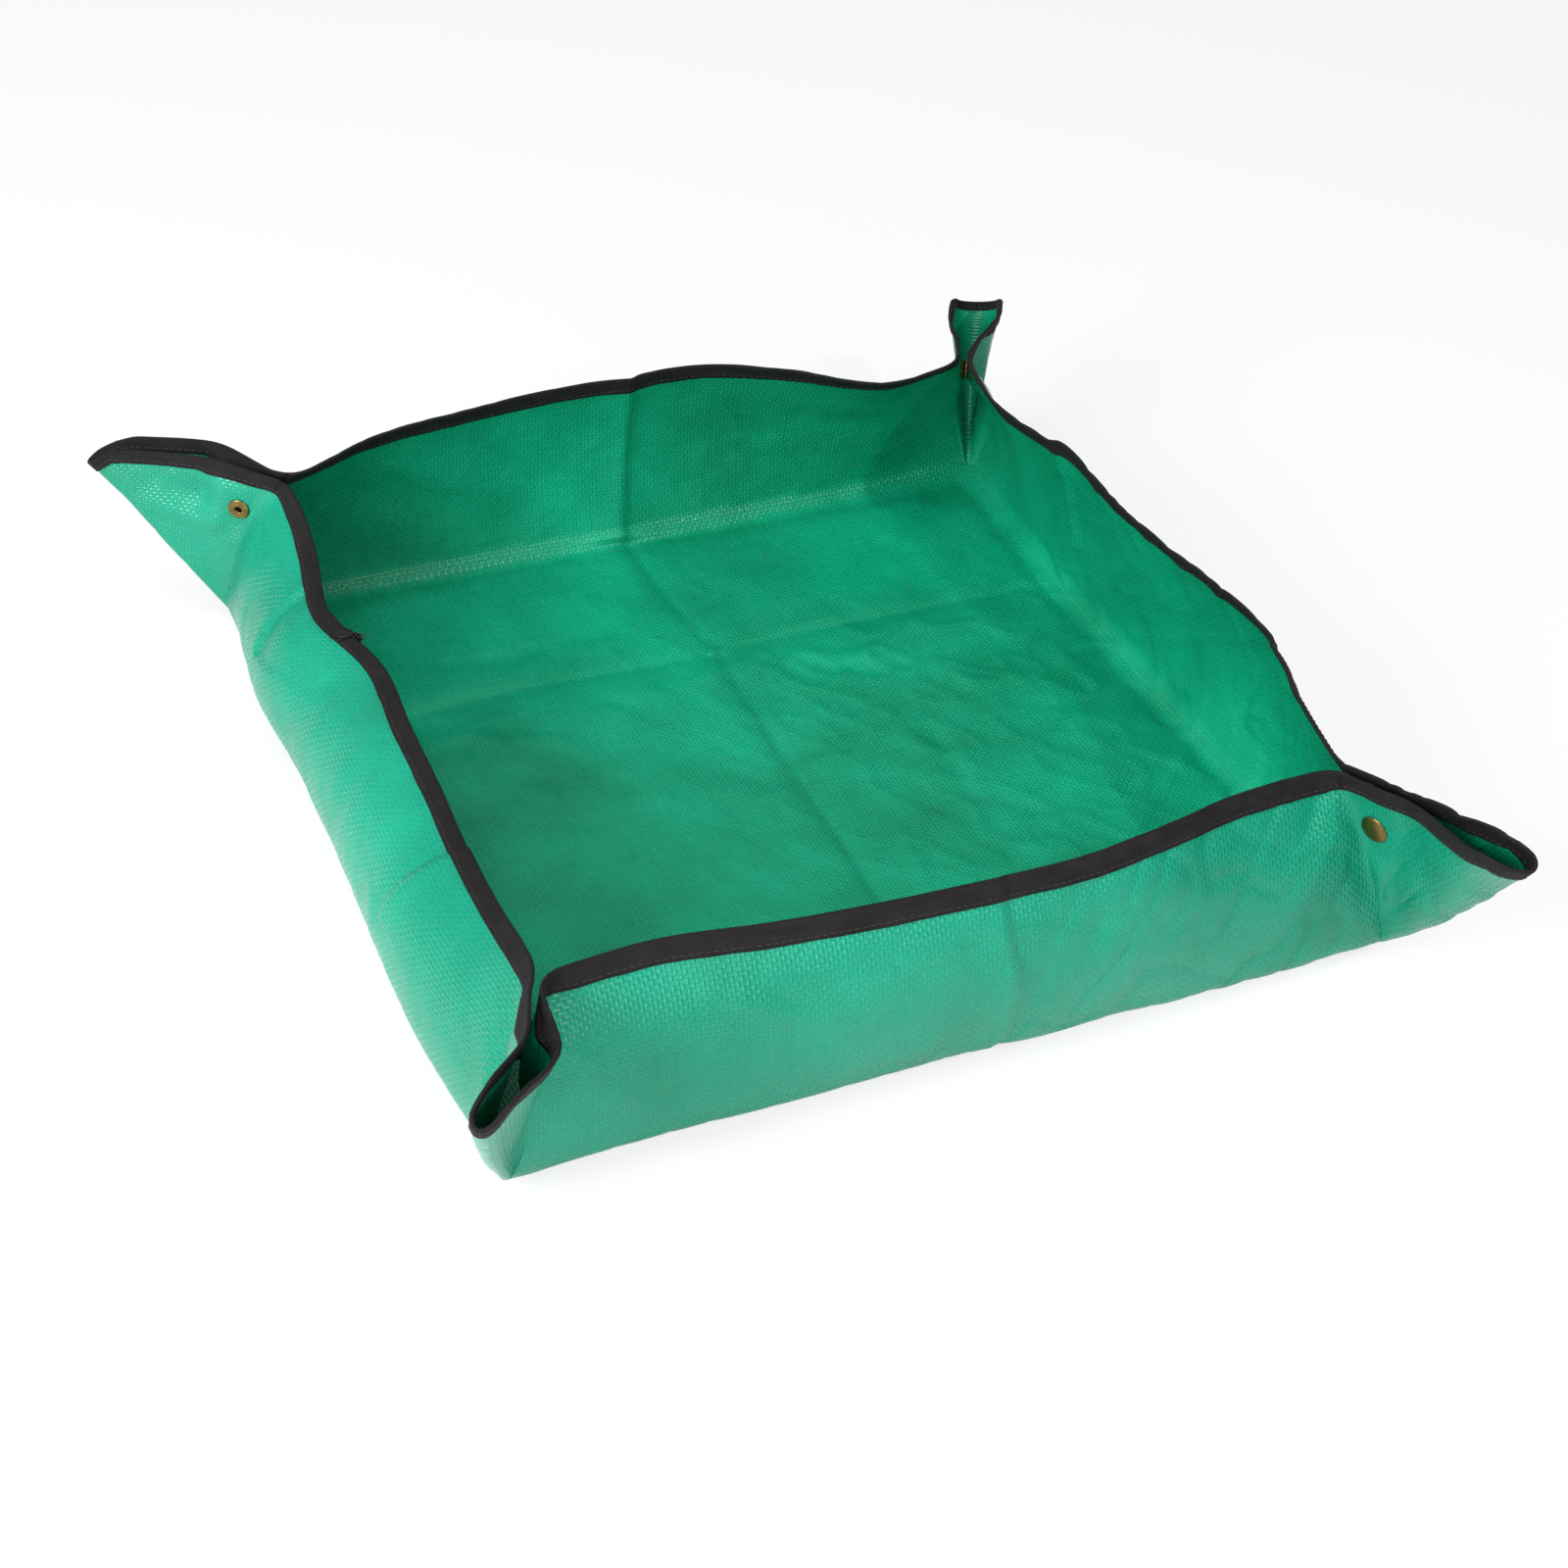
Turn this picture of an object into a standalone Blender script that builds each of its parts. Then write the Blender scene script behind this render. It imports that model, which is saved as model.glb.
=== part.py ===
# Repotting mat: a square of woven tarpaulin with a sewn edge binding.
# Four press studs pinch its corners into ears that point outwards, which stands its sides up as walls.
# The sheet is modelled in panels that meet on its fold lines, so that it can be laid flat again.
# Metres, +Z up, origin under the centre of the floor, front wall towards -Y.

import math

import bmesh
import bpy
from mathutils import Matrix, Vector

# Sheet, measured on the flat cloth
SHEET_SIDE = 0.680
WALL_HEIGHT = 0.1075
SHEET_THICKNESS = 0.0008
CORNER_CUT = 0.026
CREASE_RADIUS = 0.014
EAR_FOLD_RADIUS = 0.0040
PANEL_GAP = 0.0004
EAR_ROOT_GAP = 0.0018
EAR_FOLD_GAP = 0.0007
EAR_START = 0.0080
MOUTH_START_SHARE = 0.22

# Edge binding, a tape folded over the edge
BINDING_WIDTH = 0.012
BINDING_THICKNESS = 0.0008
BINDING_GAP = 0.00035
BINDING_END_GAP = 0.0011

# Press studs
SNAP_INSET = 0.027
SNAP_FROM_WALL = 0.0170
SNAP_FLAT = 0.0102
CAP_RADIUS = 0.0075
CAP_HEIGHT = 0.0021
CAP_WALL = 0.0005
SHANK_RADIUS = 0.0015
SHANK_FLARE = 0.0022
SOCKET_RADIUS = 0.0062
SOCKET_HEIGHT = 0.0031
SOCKET_HOLE = 0.0034
SOCKET_BACK = 0.00035
STUD_RADIUS = 0.0060
STUD_FLANGE = 0.0006
STUD_BALL_RADIUS = 0.0029
STUD_BALL_HEIGHT = 0.0015
STUD_WALL = 0.00065
POST_RADIUS = 0.0062
POST_FLANGE = 0.0011
POST_HOLE = 0.0018
POST_WALL = 0.0003
POST_FLARE = 0.0026
LAYER_HALF_GAP = 0.0025
METAL_GAP = 0.0002
HOLE_CLEARANCE = 0.0003
CUT_OVERRUN = 0.0030
MERGE_WITHIN = 0.00001

# Curves of the standing walls: leans are outwards from upright
CREASE_TURN = math.radians(45)
END_LEAN_LOW = math.radians(6)
END_LEAN_TOP = math.radians(-29)
LEAN_POWER = 2.6

# Faces along each piece
FLOOR_FACES = 18
COVE_FACES = 2
WALL_FACES = 24
WALL_RINGS = 7
EAR_OUTER_FACES = 5
TURNED_STEPS = 18
# Where the faces beside an ear's fold meet, in parts of its cut edge from the fold
FOLD_FACE_SHARES = (0.60, 0.24, 0.08, 0.0)

TARP_GREEN = (0.010, 0.300, 0.165)
TAPE_BLACK = (0.012, 0.012, 0.013)
BRASS = (0.42, 0.27, 0.08)

# Each wall: the side it faces, its middle's lean low down and at the rim, and its waves.
# A wave is a place along the wall from -1 to 1, a half width on the same scale, and how much
# more the wall leans out there, in degrees.
WALLS = {
    "front": {
        "faces": -90,
        "leans": (20, -36),
        "waves": ((0.05, 0.30, 2.0), (-0.55, 0.25, -1.6)),
    },
    "right": {
        "faces": 0,
        "leans": (10, -14),
        "waves": ((-0.05, 0.24, -1.6), (0.42, 0.24, -6.5), (0.76, 0.24, -11.0)),
    },
    "back": {
        "faces": 90,
        "leans": (12, -12),
        "waves": ((-0.76, 0.24, -11.0), (-0.50, 0.28, -5.5), (0.10, 0.25, 1.6)),
    },
    "left": {
        "faces": 180,
        "leans": (40, -54),
        "waves": ((-0.60, 0.22, 2.7), (0.35, 0.30, -3.2)),
    },
}

# Each ear: the wall on each side of it, its swing round its root in degrees, and, as shares of the
# wall's height, how far its tip lies out and up from where a flat fold would put it and how wide
# its mouth stands open.
EARS = {
    "right": {
        "walls": ("front", "right"),
        "swing": -8,
        "tip_shares": (-0.188, -0.100),
        "mouth_share": 0.102,
    },
    "back": {
        "walls": ("right", "back"),
        "swing": 12,
        "tip_shares": (-0.186, -0.149),
        "mouth_share": 0.112,
    },
    "left": {
        "walls": ("back", "left"),
        "swing": 14,
        "tip_shares": (-0.027, -0.150),
        "mouth_share": 0.074,
    },
    "front": {
        "walls": ("left", "front"),
        "swing": 17,
        "tip_shares": (-0.260, 0.019),
        "mouth_share": 0.140,
    },
}

HALF_FLOOR = SHEET_SIDE / 2 - WALL_HEIGHT
COVE_RUN = CREASE_RADIUS * math.sin(CREASE_TURN)
COVE_RISE = CREASE_RADIUS * (1 - math.cos(CREASE_TURN))
COVE_LENGTH = CREASE_RADIUS * (math.pi / 2 - CREASE_TURN)
CREASE_Z = SHEET_THICKNESS / 2 + COVE_RISE
EAR_ROOT_SPREAD = LAYER_HALF_GAP * math.sqrt(2)
UP = Vector((0, 0, 1))


def mix(a, b, share):
    return a + (b - a) * share


def clamp(value, low=0.0, high=1.0):
    return max(low, min(high, value))


def smooth(share):
    share = clamp(share)
    return share * share * (3 - 2 * share)


def arc_run(start_angle, end_angle, length, along):
    """How far out and up a curve goes whose slope turns evenly from one angle to another."""
    turn = (end_angle - start_angle) / length
    if abs(turn * length) < 1e-6:
        return along * math.cos(start_angle), along * math.sin(start_angle)
    angle = start_angle + turn * along
    out = (math.sin(angle) - math.sin(start_angle)) / turn
    up = (math.cos(start_angle) - math.cos(angle)) / turn
    return out, up


def wall_profile(lean_low, lean_top, height):
    """Out and up from the crease at this height on the cloth."""
    upright = math.pi / 2
    cove = min(height, COVE_LENGTH)
    out, up = arc_run(CREASE_TURN, upright - lean_low, COVE_LENGTH, cove)
    if height > COVE_LENGTH:
        more_out, more_up = arc_run(
            upright - lean_low, upright - lean_top, WALL_HEIGHT - COVE_LENGTH, height - COVE_LENGTH
        )
        out, up = out + more_out, up + more_up
    return out, up


# How far the press studs pull the ends of each rim in over the floor
END_OUT, END_UP = wall_profile(END_LEAN_LOW, END_LEAN_TOP, WALL_HEIGHT)
CORNER_PULL = EAR_ROOT_SPREAD - END_OUT


def wave_lean(share, waves):
    """How much more a wall leans out at this place along it. Each wave is a smooth hump."""
    lean = 0.0
    for centre, half_width, most in waves:
        lean += math.radians(most) * smooth(1 - abs(share - centre) / half_width)
    return lean


def directions(wall):
    """Outward and along directions of a wall."""
    angle = math.radians(WALLS[wall]["faces"])
    outward = Vector((math.cos(angle), math.sin(angle), 0))
    return outward, UP.cross(outward)


def wall_point(wall, share, height):
    """Place of the cloth at a share of the wall's half length, this high above its crease."""
    shape = WALLS[wall]
    outward, along = directions(wall)
    to_end = abs(share) ** LEAN_POWER
    mid_low, mid_top = (math.radians(lean) for lean in shape["leans"])
    more = wave_lean(share, shape["waves"])
    lean_low = mix(mid_low, END_LEAN_LOW, to_end) + more
    lean_top = mix(mid_top, END_LEAN_TOP, to_end) + more
    out, up = wall_profile(lean_low, lean_top, height)
    rise = height / WALL_HEIGHT
    reach = share * (HALF_FLOOR - CORNER_PULL * rise)
    return outward * (HALF_FLOOR + out) + along * reach + UP * (CREASE_Z + up)


def cove_rise(inside_edge):
    """Height of the floor this far inside its edge: it curls up towards the crease."""
    run = clamp(COVE_RUN - inside_edge, 0.0, COVE_RUN)
    return CREASE_RADIUS - math.sqrt(CREASE_RADIUS**2 - run**2)


def floor_point(x, y):
    rise_x = cove_rise(HALF_FLOOR - abs(x)) / COVE_RISE
    rise_y = cove_rise(HALF_FLOOR - abs(y)) / COVE_RISE
    rise = 1 - (1 - rise_x) * (1 - rise_y)
    return Vector((x, y, SHEET_THICKNESS / 2 + COVE_RISE * rise))


def end_sign(ear, wall):
    """Which end of the wall the ear is on: an ear names the wall that ends at it first."""
    return 1 if EARS[ear]["walls"][0] == wall else -1


def flat_tip():
    """Tip of a flat-folded ear in its own plane, out and up from the floor corner."""
    root = Vector((-CORNER_PULL * math.sqrt(2), END_UP))
    edge = WALL_HEIGHT + CORNER_PULL
    diagonal = WALL_HEIGHT * math.sqrt(2)
    span = root.length
    along = (diagonal**2 - edge**2 + span**2) / (2 * span)
    across = math.sqrt(diagonal**2 - along**2)
    line = root / span
    return root, line * along + Vector((line.y, -line.x)) * across


EAR_ROOT, EAR_TIP = flat_tip()
EAR_STRAIGHT = WALL_HEIGHT + CORNER_PULL - CORNER_CUT
EAR_SLANTED = CORNER_CUT / math.sqrt(2)
EAR_WHOLE = EAR_STRAIGHT + EAR_SLANTED


def ear_frame(ear, wall):
    """Floor corner, outward diagonal and the side direction of one half of an ear."""
    outward, along = directions(wall)
    sign = end_sign(ear, wall)
    corner = (outward + along * sign) * HALF_FLOOR + UP * CREASE_Z
    diagonal = (outward + along * sign).normalized()
    side = (outward - along * sign).normalized()
    return corner, diagonal, side


def ear_axis(ear, wall):
    corner, diagonal, side = ear_frame(ear, wall)
    return (diagonal * EAR_ROOT.x + UP * EAR_ROOT.y).normalized()


def ear_turn(ear, wall):
    """Turn of the whole ear about its root, towards the first wall that it names."""
    axis = ear_axis(ear, wall)
    return Matrix.Rotation(math.radians(EARS[ear]["swing"]), 3, axis)


def root_line(height):
    """How far past the crease's end the wall ends at this height, along the wall."""
    return -CORNER_PULL * height / WALL_HEIGHT


def snap_place():
    """The press stud's centre on the flat cloth, past the crease's end and above the crease."""
    height = WALL_HEIGHT - SNAP_INSET
    return root_line(height) + SNAP_FROM_WALL, height


def pinched(past, height):
    """How free the cloth is of the press stud: nothing in the flat square round it, one at the wall."""
    centre = snap_place()[1]
    from_wall = (past - root_line(height)) * centre / max(height, EAR_START)
    away = max(abs(from_wall - SNAP_FROM_WALL), abs(height - centre))
    return smooth((away - SNAP_FLAT) / (SNAP_FROM_WALL - SNAP_FLAT))


def ear_point(ear, wall, past, height):
    """Place of the cloth of one ear half, at these flat distances past and above the corner."""
    shape = EARS[ear]
    corner, diagonal, side = ear_frame(ear, wall)
    if past > height:
        mirrored = ear_point(ear, wall, height, past)
        side = ear_turn(ear, wall) @ side
        return mirrored - side * (2 * (mirrored - corner).dot(side))
    rise = height / WALL_HEIGHT
    start = root_line(height)
    share = clamp((past - start) / (height - start)) if height > 0 else 0.0
    flat = (EAR_ROOT * (1 - share) + EAR_TIP * share) * rise
    flat += Vector(shape["tip_shares"]) * WALL_HEIGHT * rise**2 * share**1.5

    free = pinched(past, height)
    opening = math.sin(math.pi * smooth((share - MOUTH_START_SHARE) / (1 - MOUTH_START_SHARE)))
    mouth = shape["mouth_share"] * WALL_HEIGHT * rise**2 * opening**2
    from_fold = clamp((height - past) / math.sqrt(2) / EAR_FOLD_RADIUS)
    closing = math.sqrt(1 - (1 - from_fold) ** 2)
    apart = mix(EAR_FOLD_GAP / 2, LAYER_HALF_GAP + mouth * free, closing)

    outward, along = directions(wall)
    end_out, end_up = wall_profile(END_LEAN_LOW, END_LEAN_TOP, height)
    wall_end = outward * end_out + along * (end_sign(ear, wall) * start) + UP * end_up
    near_wall = (1 - share) ** 3
    flat += (Vector((wall_end.dot(diagonal), wall_end.z)) - EAR_ROOT * rise) * near_wall
    apart += (wall_end.dot(side) - LAYER_HALF_GAP) * near_wall * free
    turn = ear_turn(ear, wall)
    turned = turn @ (diagonal * flat.x + UP * flat.y + side * apart)
    return corner + turned + (wall_end - turn @ wall_end) * near_wall * free


def ear_edge(run):
    """Outline of an ear half on the flat cloth, from the wall along the rim to the fold."""
    if run <= EAR_STRAIGHT:
        return Vector((run - CORNER_PULL, WALL_HEIGHT))
    slant = (run - EAR_STRAIGHT) / math.sqrt(2)
    return Vector((WALL_HEIGHT - CORNER_CUT + slant, WALL_HEIGHT - slant))


def ear_inner(run):
    """The same place on the line where the binding's inner edge lies."""
    at_root = clamp(1 - run / BINDING_WIDTH)
    at_cut = smooth((run - EAR_STRAIGHT) / BINDING_WIDTH + 0.5)
    angle = math.radians(45) * at_cut - math.atan2(CORNER_PULL, WALL_HEIGHT) * at_root
    depth = BINDING_WIDTH / math.cos(math.atan2(CORNER_PULL, WALL_HEIGHT) * at_root)
    return ear_edge(run) - Vector((math.sin(angle), math.cos(angle))) * depth


def ear_stations():
    """Where an ear's faces meet along its outline, in metres from the wall."""
    past, height = snap_place()
    out_to_binding = (WALL_HEIGHT - BINDING_WIDTH) / height
    near = (past - SNAP_FLAT) * out_to_binding + CORNER_PULL
    far = (past + SNAP_FLAT) * out_to_binding + CORNER_PULL
    outer = [mix(far, EAR_STRAIGHT, face / EAR_OUTER_FACES) for face in range(EAR_OUTER_FACES)]
    cut = [EAR_STRAIGHT] + [EAR_WHOLE - share * EAR_SLANTED for share in FOLD_FACE_SHARES]
    return [0.0, near / 2, near] + outer + cut


def ear_ring_shares():
    """Where an ear's rings meet, as shares of the way out to the binding's inner edge."""
    inner = WALL_HEIGHT - BINDING_WIDTH
    first, centre = EAR_START / inner, snap_place()[1]
    low, high = (centre - SNAP_FLAT) / inner, (centre + SNAP_FLAT) / inner
    return (first, (first + low) / 2, low, high, 1.0)


def new_material(name, color, roughness, metallic):
    material = bpy.data.materials.new(name)
    material.use_nodes = True
    shader = material.node_tree.nodes["Principled BSDF"]
    shader.inputs["Base Color"].default_value = (*color, 1)
    shader.inputs["Roughness"].default_value = roughness
    shader.inputs["Metallic"].default_value = metallic
    return material


def new_empty(name, place, parent=None):
    empty = bpy.data.objects.new(name, None)
    bpy.context.scene.collection.objects.link(empty)
    if parent:
        empty.parent = parent
        place = place - parent.matrix_world.translation
    empty.location = place
    bpy.context.view_layer.update()
    return empty


def cloth_grid(name, across, up, place, pivot, thickness, material, turned_over=1.0):
    """A grid bent to the places that place(a, b) gives for a and b from 0 to 1, made thick.

    Its faces are split along one diagonal, and along the other beyond b = turned_over.
    """
    bpy.ops.mesh.primitive_grid_add(x_subdivisions=across, y_subdivisions=up, size=1)
    piece = bpy.context.object
    piece.name = name
    grid = bmesh.new()
    grid.from_mesh(piece.data)
    over = [face for face in grid.faces if face.calc_center_median().y + 0.5 > turned_over]
    other = [face for face in grid.faces if face not in over]
    bmesh.ops.triangulate(grid, faces=other, quad_method="FIXED")
    bmesh.ops.triangulate(grid, faces=over, quad_method="ALTERNATE")
    origin = pivot.matrix_world.translation
    for vertex in grid.verts:
        vertex.co = place(vertex.co.x + 0.5, vertex.co.y + 0.5) - origin
    grid.to_mesh(piece.data)
    grid.free()
    piece.parent = pivot
    piece.data.materials.append(material)
    shell = piece.modifiers.new("thickness", "SOLIDIFY")
    shell.thickness = thickness
    shell.offset = 0
    shell.use_even_offset = True
    return piece


def turned(name, profile, material, pivot):
    """A round piece from its outline, which runs down its outer side. Closed rings end where they start."""
    mesh = bpy.data.meshes.new(name)
    count = len(profile)
    edges = [(i, i + 1) for i in range(count - 1)]
    if profile[0][0] > 0:
        edges.append((count - 1, 0))
    mesh.from_pydata([(radius, 0, z) for radius, z in profile], edges, [])
    piece = bpy.data.objects.new(name, mesh)
    bpy.context.scene.collection.objects.link(piece)
    mesh.materials.append(material)
    screw = piece.modifiers.new("turn", "SCREW")
    screw.steps = TURNED_STEPS
    screw.render_steps = TURNED_STEPS
    screw.use_merge_vertices = True
    screw.merge_threshold = MERGE_WITHIN
    screw.use_smooth_shade = True
    piece.parent = pivot
    return piece


def floor_panel(material, pivot):
    half = HALF_FLOOR - PANEL_GAP / 2
    inner = HALF_FLOOR - COVE_RUN
    cove_share = COVE_FACES / FLOOR_FACES

    def station(share):
        """Faces close together in the curled edge and evenly spread between."""
        from_edge = min(share, 1 - share)
        if from_edge < cove_share:
            place = mix(half, inner, from_edge / cove_share)
        else:
            place = inner * (1 - (from_edge - cove_share) / (0.5 - cove_share))
        return -place if share < 0.5 else place

    return cloth_grid(
        "floor_panel",
        FLOOR_FACES,
        FLOOR_FACES,
        lambda a, b: floor_point(station(a), station(b)),
        pivot,
        SHEET_THICKNESS,
        material,
    )


def wall_panel(wall, material, pivot):
    cove_rings = 2
    inner = WALL_HEIGHT - BINDING_WIDTH

    def height(share):
        ring = share * WALL_RINGS
        if ring <= cove_rings:
            return mix(PANEL_GAP / 2, COVE_LENGTH, ring / cove_rings)
        if ring <= WALL_RINGS - 1:
            return mix(COVE_LENGTH, inner, (ring - cove_rings) / (WALL_RINGS - 1 - cove_rings))
        return mix(inner, WALL_HEIGHT, ring - (WALL_RINGS - 1))

    end = 1 - EAR_ROOT_GAP / 2 / HALF_FLOOR
    return cloth_grid(
        f"{wall}_wall_panel",
        WALL_FACES,
        WALL_RINGS,
        lambda a, b: wall_point(wall, (2 * a - 1) * end, height(b)),
        pivot,
        SHEET_THICKNESS,
        material,
    )


def ear_panel(ear, wall, material, pivot):
    stations, rings = ear_stations(), ear_ring_shares()
    last = len(stations) - 1

    def place(a, b):
        run, ring = stations[round(a * last)], round(b * len(rings))
        inner = ear_inner(run)
        flat = inner * rings[ring] if ring < len(rings) else ear_edge(run)
        past = flat.x + EAR_ROOT_GAP / 2 * (1 - run / EAR_WHOLE)
        return ear_point(ear, wall, past, flat.y)

    return cloth_grid(
        f"{ear}_ear_{wall}_side", last, len(rings), place, pivot, SHEET_THICKNESS, material
    )


def tape_section():
    """The tape's middle line, as (share of the way in, out past the edge, off the cloth)."""
    off = SHEET_THICKNESS / 2 + BINDING_GAP + BINDING_THICKNESS / 2
    past = BINDING_GAP + BINDING_THICKNESS / 2
    slant = math.sqrt(0.5)
    outside = ((1, 0, off), (0, 0, off), (0, past * slant, off * slant))
    inside = tuple((share, out, -up) for share, out, up in reversed(outside))
    return outside + ((0, past, 0),) + inside


def tape(name, stations, edge, inner, surface, material, pivot):
    """A length of tape folded over the edge of the cloth, with its faces over the cloth's."""
    section = tape_section()
    last = len(stations) - 1
    probe = BINDING_WIDTH / 10

    def normal(flat, along, inwards):
        ahead, behind = flat + along, flat - along
        tangent = surface(ahead.x, ahead.y) - surface(behind.x, behind.y)
        return inwards.cross(tangent).normalized()

    def place(a, b):
        run = stations[round(a * last)]
        share, out, off = section[round(b * (len(section) - 1))]
        edge_flat, inner_flat = edge(run), inner(run)
        along = (edge(run + probe) - edge(run - probe)).normalized() * probe
        outer = surface(edge_flat.x, edge_flat.y)
        inwards = surface(inner_flat.x, inner_flat.y) - outer
        at_edge, at_inner = normal(edge_flat, along, inwards), normal(inner_flat, along, inwards)
        off_cloth = at_edge.lerp(at_inner, share)
        return outer + inwards * share - inwards.normalized() * out + off_cloth * off

    return cloth_grid(
        name, last, len(section) - 1, place, pivot, BINDING_THICKNESS, material, 0.5
    )


def wall_tape(wall, material, pivot):
    """The places along a wall are given at its rim, where the wall is shortest."""
    rim_half = HALF_FLOOR - CORNER_PULL
    end = rim_half - BINDING_END_GAP
    return tape(
        f"{wall}_wall_binding",
        [end * (2 * face / WALL_FACES - 1) for face in range(WALL_FACES + 1)],
        lambda run: Vector((run, WALL_HEIGHT)),
        lambda run: Vector((run, WALL_HEIGHT - BINDING_WIDTH)),
        lambda run, height: wall_point(wall, clamp(run / rim_half, -1, 1), height),
        material,
        pivot,
    )


def ear_tape(ear, wall, material, pivot):
    stations = ear_stations()
    stations[0] = BINDING_END_GAP
    return tape(
        f"{ear}_ear_{wall}_binding",
        stations,
        ear_edge,
        ear_inner,
        lambda past, height: ear_point(ear, wall, past, height),
        material,
        pivot,
    )


def snap_matrix(ear, wall):
    """Frame of the press stud on one ear half: its Z points out of the cloth's outer face."""
    corner, diagonal, side = ear_frame(ear, wall)
    past, height = snap_place()
    centre = ear_point(ear, wall, past, height)
    axis = ear_turn(ear, wall) @ side
    across = UP.cross(axis).normalized()
    return Matrix.Translation(centre) @ Matrix(
        (across, axis.cross(across), axis)
    ).transposed().to_4x4()


def cap_profile():
    face = SHEET_THICKNESS / 2 + METAL_GAP
    top = face + CAP_HEIGHT
    end = SOCKET_BACK + METAL_GAP * 3 + SHEET_THICKNESS / 2
    return (
        (0, top),
        (CAP_RADIUS * 0.45, top - CAP_HEIGHT * 0.08),
        (CAP_RADIUS * 0.80, top - CAP_HEIGHT * 0.36),
        (CAP_RADIUS * 0.97, top - CAP_HEIGHT * 0.66),
        (CAP_RADIUS, face + CAP_HEIGHT * 0.12),
        (CAP_RADIUS - CAP_WALL, face),
        (CAP_RADIUS - CAP_WALL * 2, face + CAP_HEIGHT * 0.20),
        (SHANK_RADIUS, face + CAP_HEIGHT * 0.20),
        (SHANK_RADIUS, -end + METAL_GAP),
        (SHANK_FLARE, -end),
        (SHANK_FLARE, -end - METAL_GAP),
        (0, -end - METAL_GAP),
    )


def socket_profile():
    back = -SHEET_THICKNESS / 2 - METAL_GAP
    mouth = back - SOCKET_HEIGHT
    lip = SOCKET_HEIGHT * 0.12
    hole = SHANK_RADIUS + HOLE_CLEARANCE
    return (
        (hole, back),
        (SOCKET_RADIUS * 0.86, back),
        (SOCKET_RADIUS, back - lip),
        (SOCKET_RADIUS, back - SOCKET_HEIGHT * 0.45),
        (SOCKET_RADIUS * 0.84, mouth + lip),
        (SOCKET_RADIUS * 0.76, mouth),
        (SOCKET_HOLE + lip, mouth),
        (SOCKET_HOLE, mouth + lip),
        (SOCKET_HOLE, back - SOCKET_BACK),
        (hole, back - SOCKET_BACK),
    )


def stud_profile():
    back = -SHEET_THICKNESS / 2 - METAL_GAP
    flange = back - STUD_FLANGE
    top = flange - STUD_BALL_HEIGHT
    bore = POST_HOLE + POST_WALL + METAL_GAP
    neck = STUD_BALL_RADIUS * 0.90
    return (
        (bore, back),
        (STUD_RADIUS, back),
        (STUD_RADIUS, back - STUD_FLANGE * 0.6),
        (STUD_RADIUS * 0.93, flange),
        (neck, flange),
        (neck, mix(flange, top, 0.25)),
        (STUD_BALL_RADIUS, mix(flange, top, 0.60)),
        (STUD_BALL_RADIUS * 0.93, mix(flange, top, 0.90)),
        (bore + STUD_WALL / 2, top),
        (bore, top + STUD_WALL / 2),
    )


def post_profile():
    face = SHEET_THICKNESS / 2 + METAL_GAP
    top = face + POST_FLANGE
    outer = POST_HOLE + POST_WALL
    stud_top = -SHEET_THICKNESS / 2 - METAL_GAP - STUD_FLANGE - STUD_BALL_HEIGHT
    end = stud_top - METAL_GAP - POST_WALL
    return (
        (POST_HOLE + POST_WALL * 2, top),
        (POST_RADIUS * 0.62, top),
        (POST_RADIUS * 0.90, mix(face, top, 0.72)),
        (POST_RADIUS, mix(face, top, 0.25)),
        (POST_RADIUS * 0.96, face),
        (outer, face),
        (outer, end + POST_WALL),
        (POST_FLARE, end + POST_WALL),
        (POST_FLARE, end),
        (POST_HOLE, end),
        (POST_HOLE, mix(face, top, 0.6)),
    )


def bore_panel(panel, place, radius, cutters):
    """Cut the press stud's hole through one ear half."""
    depth = SHEET_THICKNESS + 2 * CUT_OVERRUN
    bpy.ops.mesh.primitive_cylinder_add(vertices=16, radius=radius, depth=depth)
    cutter = bpy.context.object
    cutter.name = panel.name + "_hole_cutter"
    cutter.matrix_world = place
    cutter.hide_render = True
    cutter.display_type = "WIRE"
    for owner in cutter.users_collection:
        owner.objects.unlink(cutter)
    cutters.objects.link(cutter)
    hole = panel.modifiers.new("stud hole", "BOOLEAN")
    hole.operation = "DIFFERENCE"
    hole.object = cutter


def snap_half(ear, wall, panel, pivot, material, cutters):
    """A cap and its socket on the first half of an ear, a post and its stud on the other."""
    place = snap_matrix(ear, wall)
    seat = bpy.data.objects.new(f"{ear}_{wall}_snap_seat", None)
    bpy.context.scene.collection.objects.link(seat)
    seat.parent = pivot
    seat.matrix_world = place
    if end_sign(ear, wall) > 0:
        pieces = (("cap", cap_profile()), ("socket", socket_profile()))
        hole = SHANK_RADIUS + HOLE_CLEARANCE
    else:
        pieces = (("post", post_profile()), ("stud", stud_profile()))
        hole = POST_HOLE + POST_WALL + HOLE_CLEARANCE
    for kind, profile in pieces:
        turned(f"{ear}_snap_{kind}", profile, material, seat)
    bore_panel(panel, place, hole, cutters)


def crease_pivot(wall):
    """Hinge of a wall: on the cloth's outer face, in the middle of the crease's curve."""
    outward, along = directions(wall)
    middle = outward * HALF_FLOOR + UP * CREASE_Z
    outer = outward * math.sin(CREASE_TURN) - UP * math.cos(CREASE_TURN)
    return middle + outer * SHEET_THICKNESS / 2


def ear_pivot(ear, wall):
    """Foot of an ear half's hinge, on the cloth's outer face."""
    corner, diagonal, side = ear_frame(ear, wall)
    return corner + side * (LAYER_HALF_GAP + SHEET_THICKNESS / 2)


def clear_scene():
    for item in list(bpy.data.objects):
        bpy.data.objects.remove(item, do_unlink=True)


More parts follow.
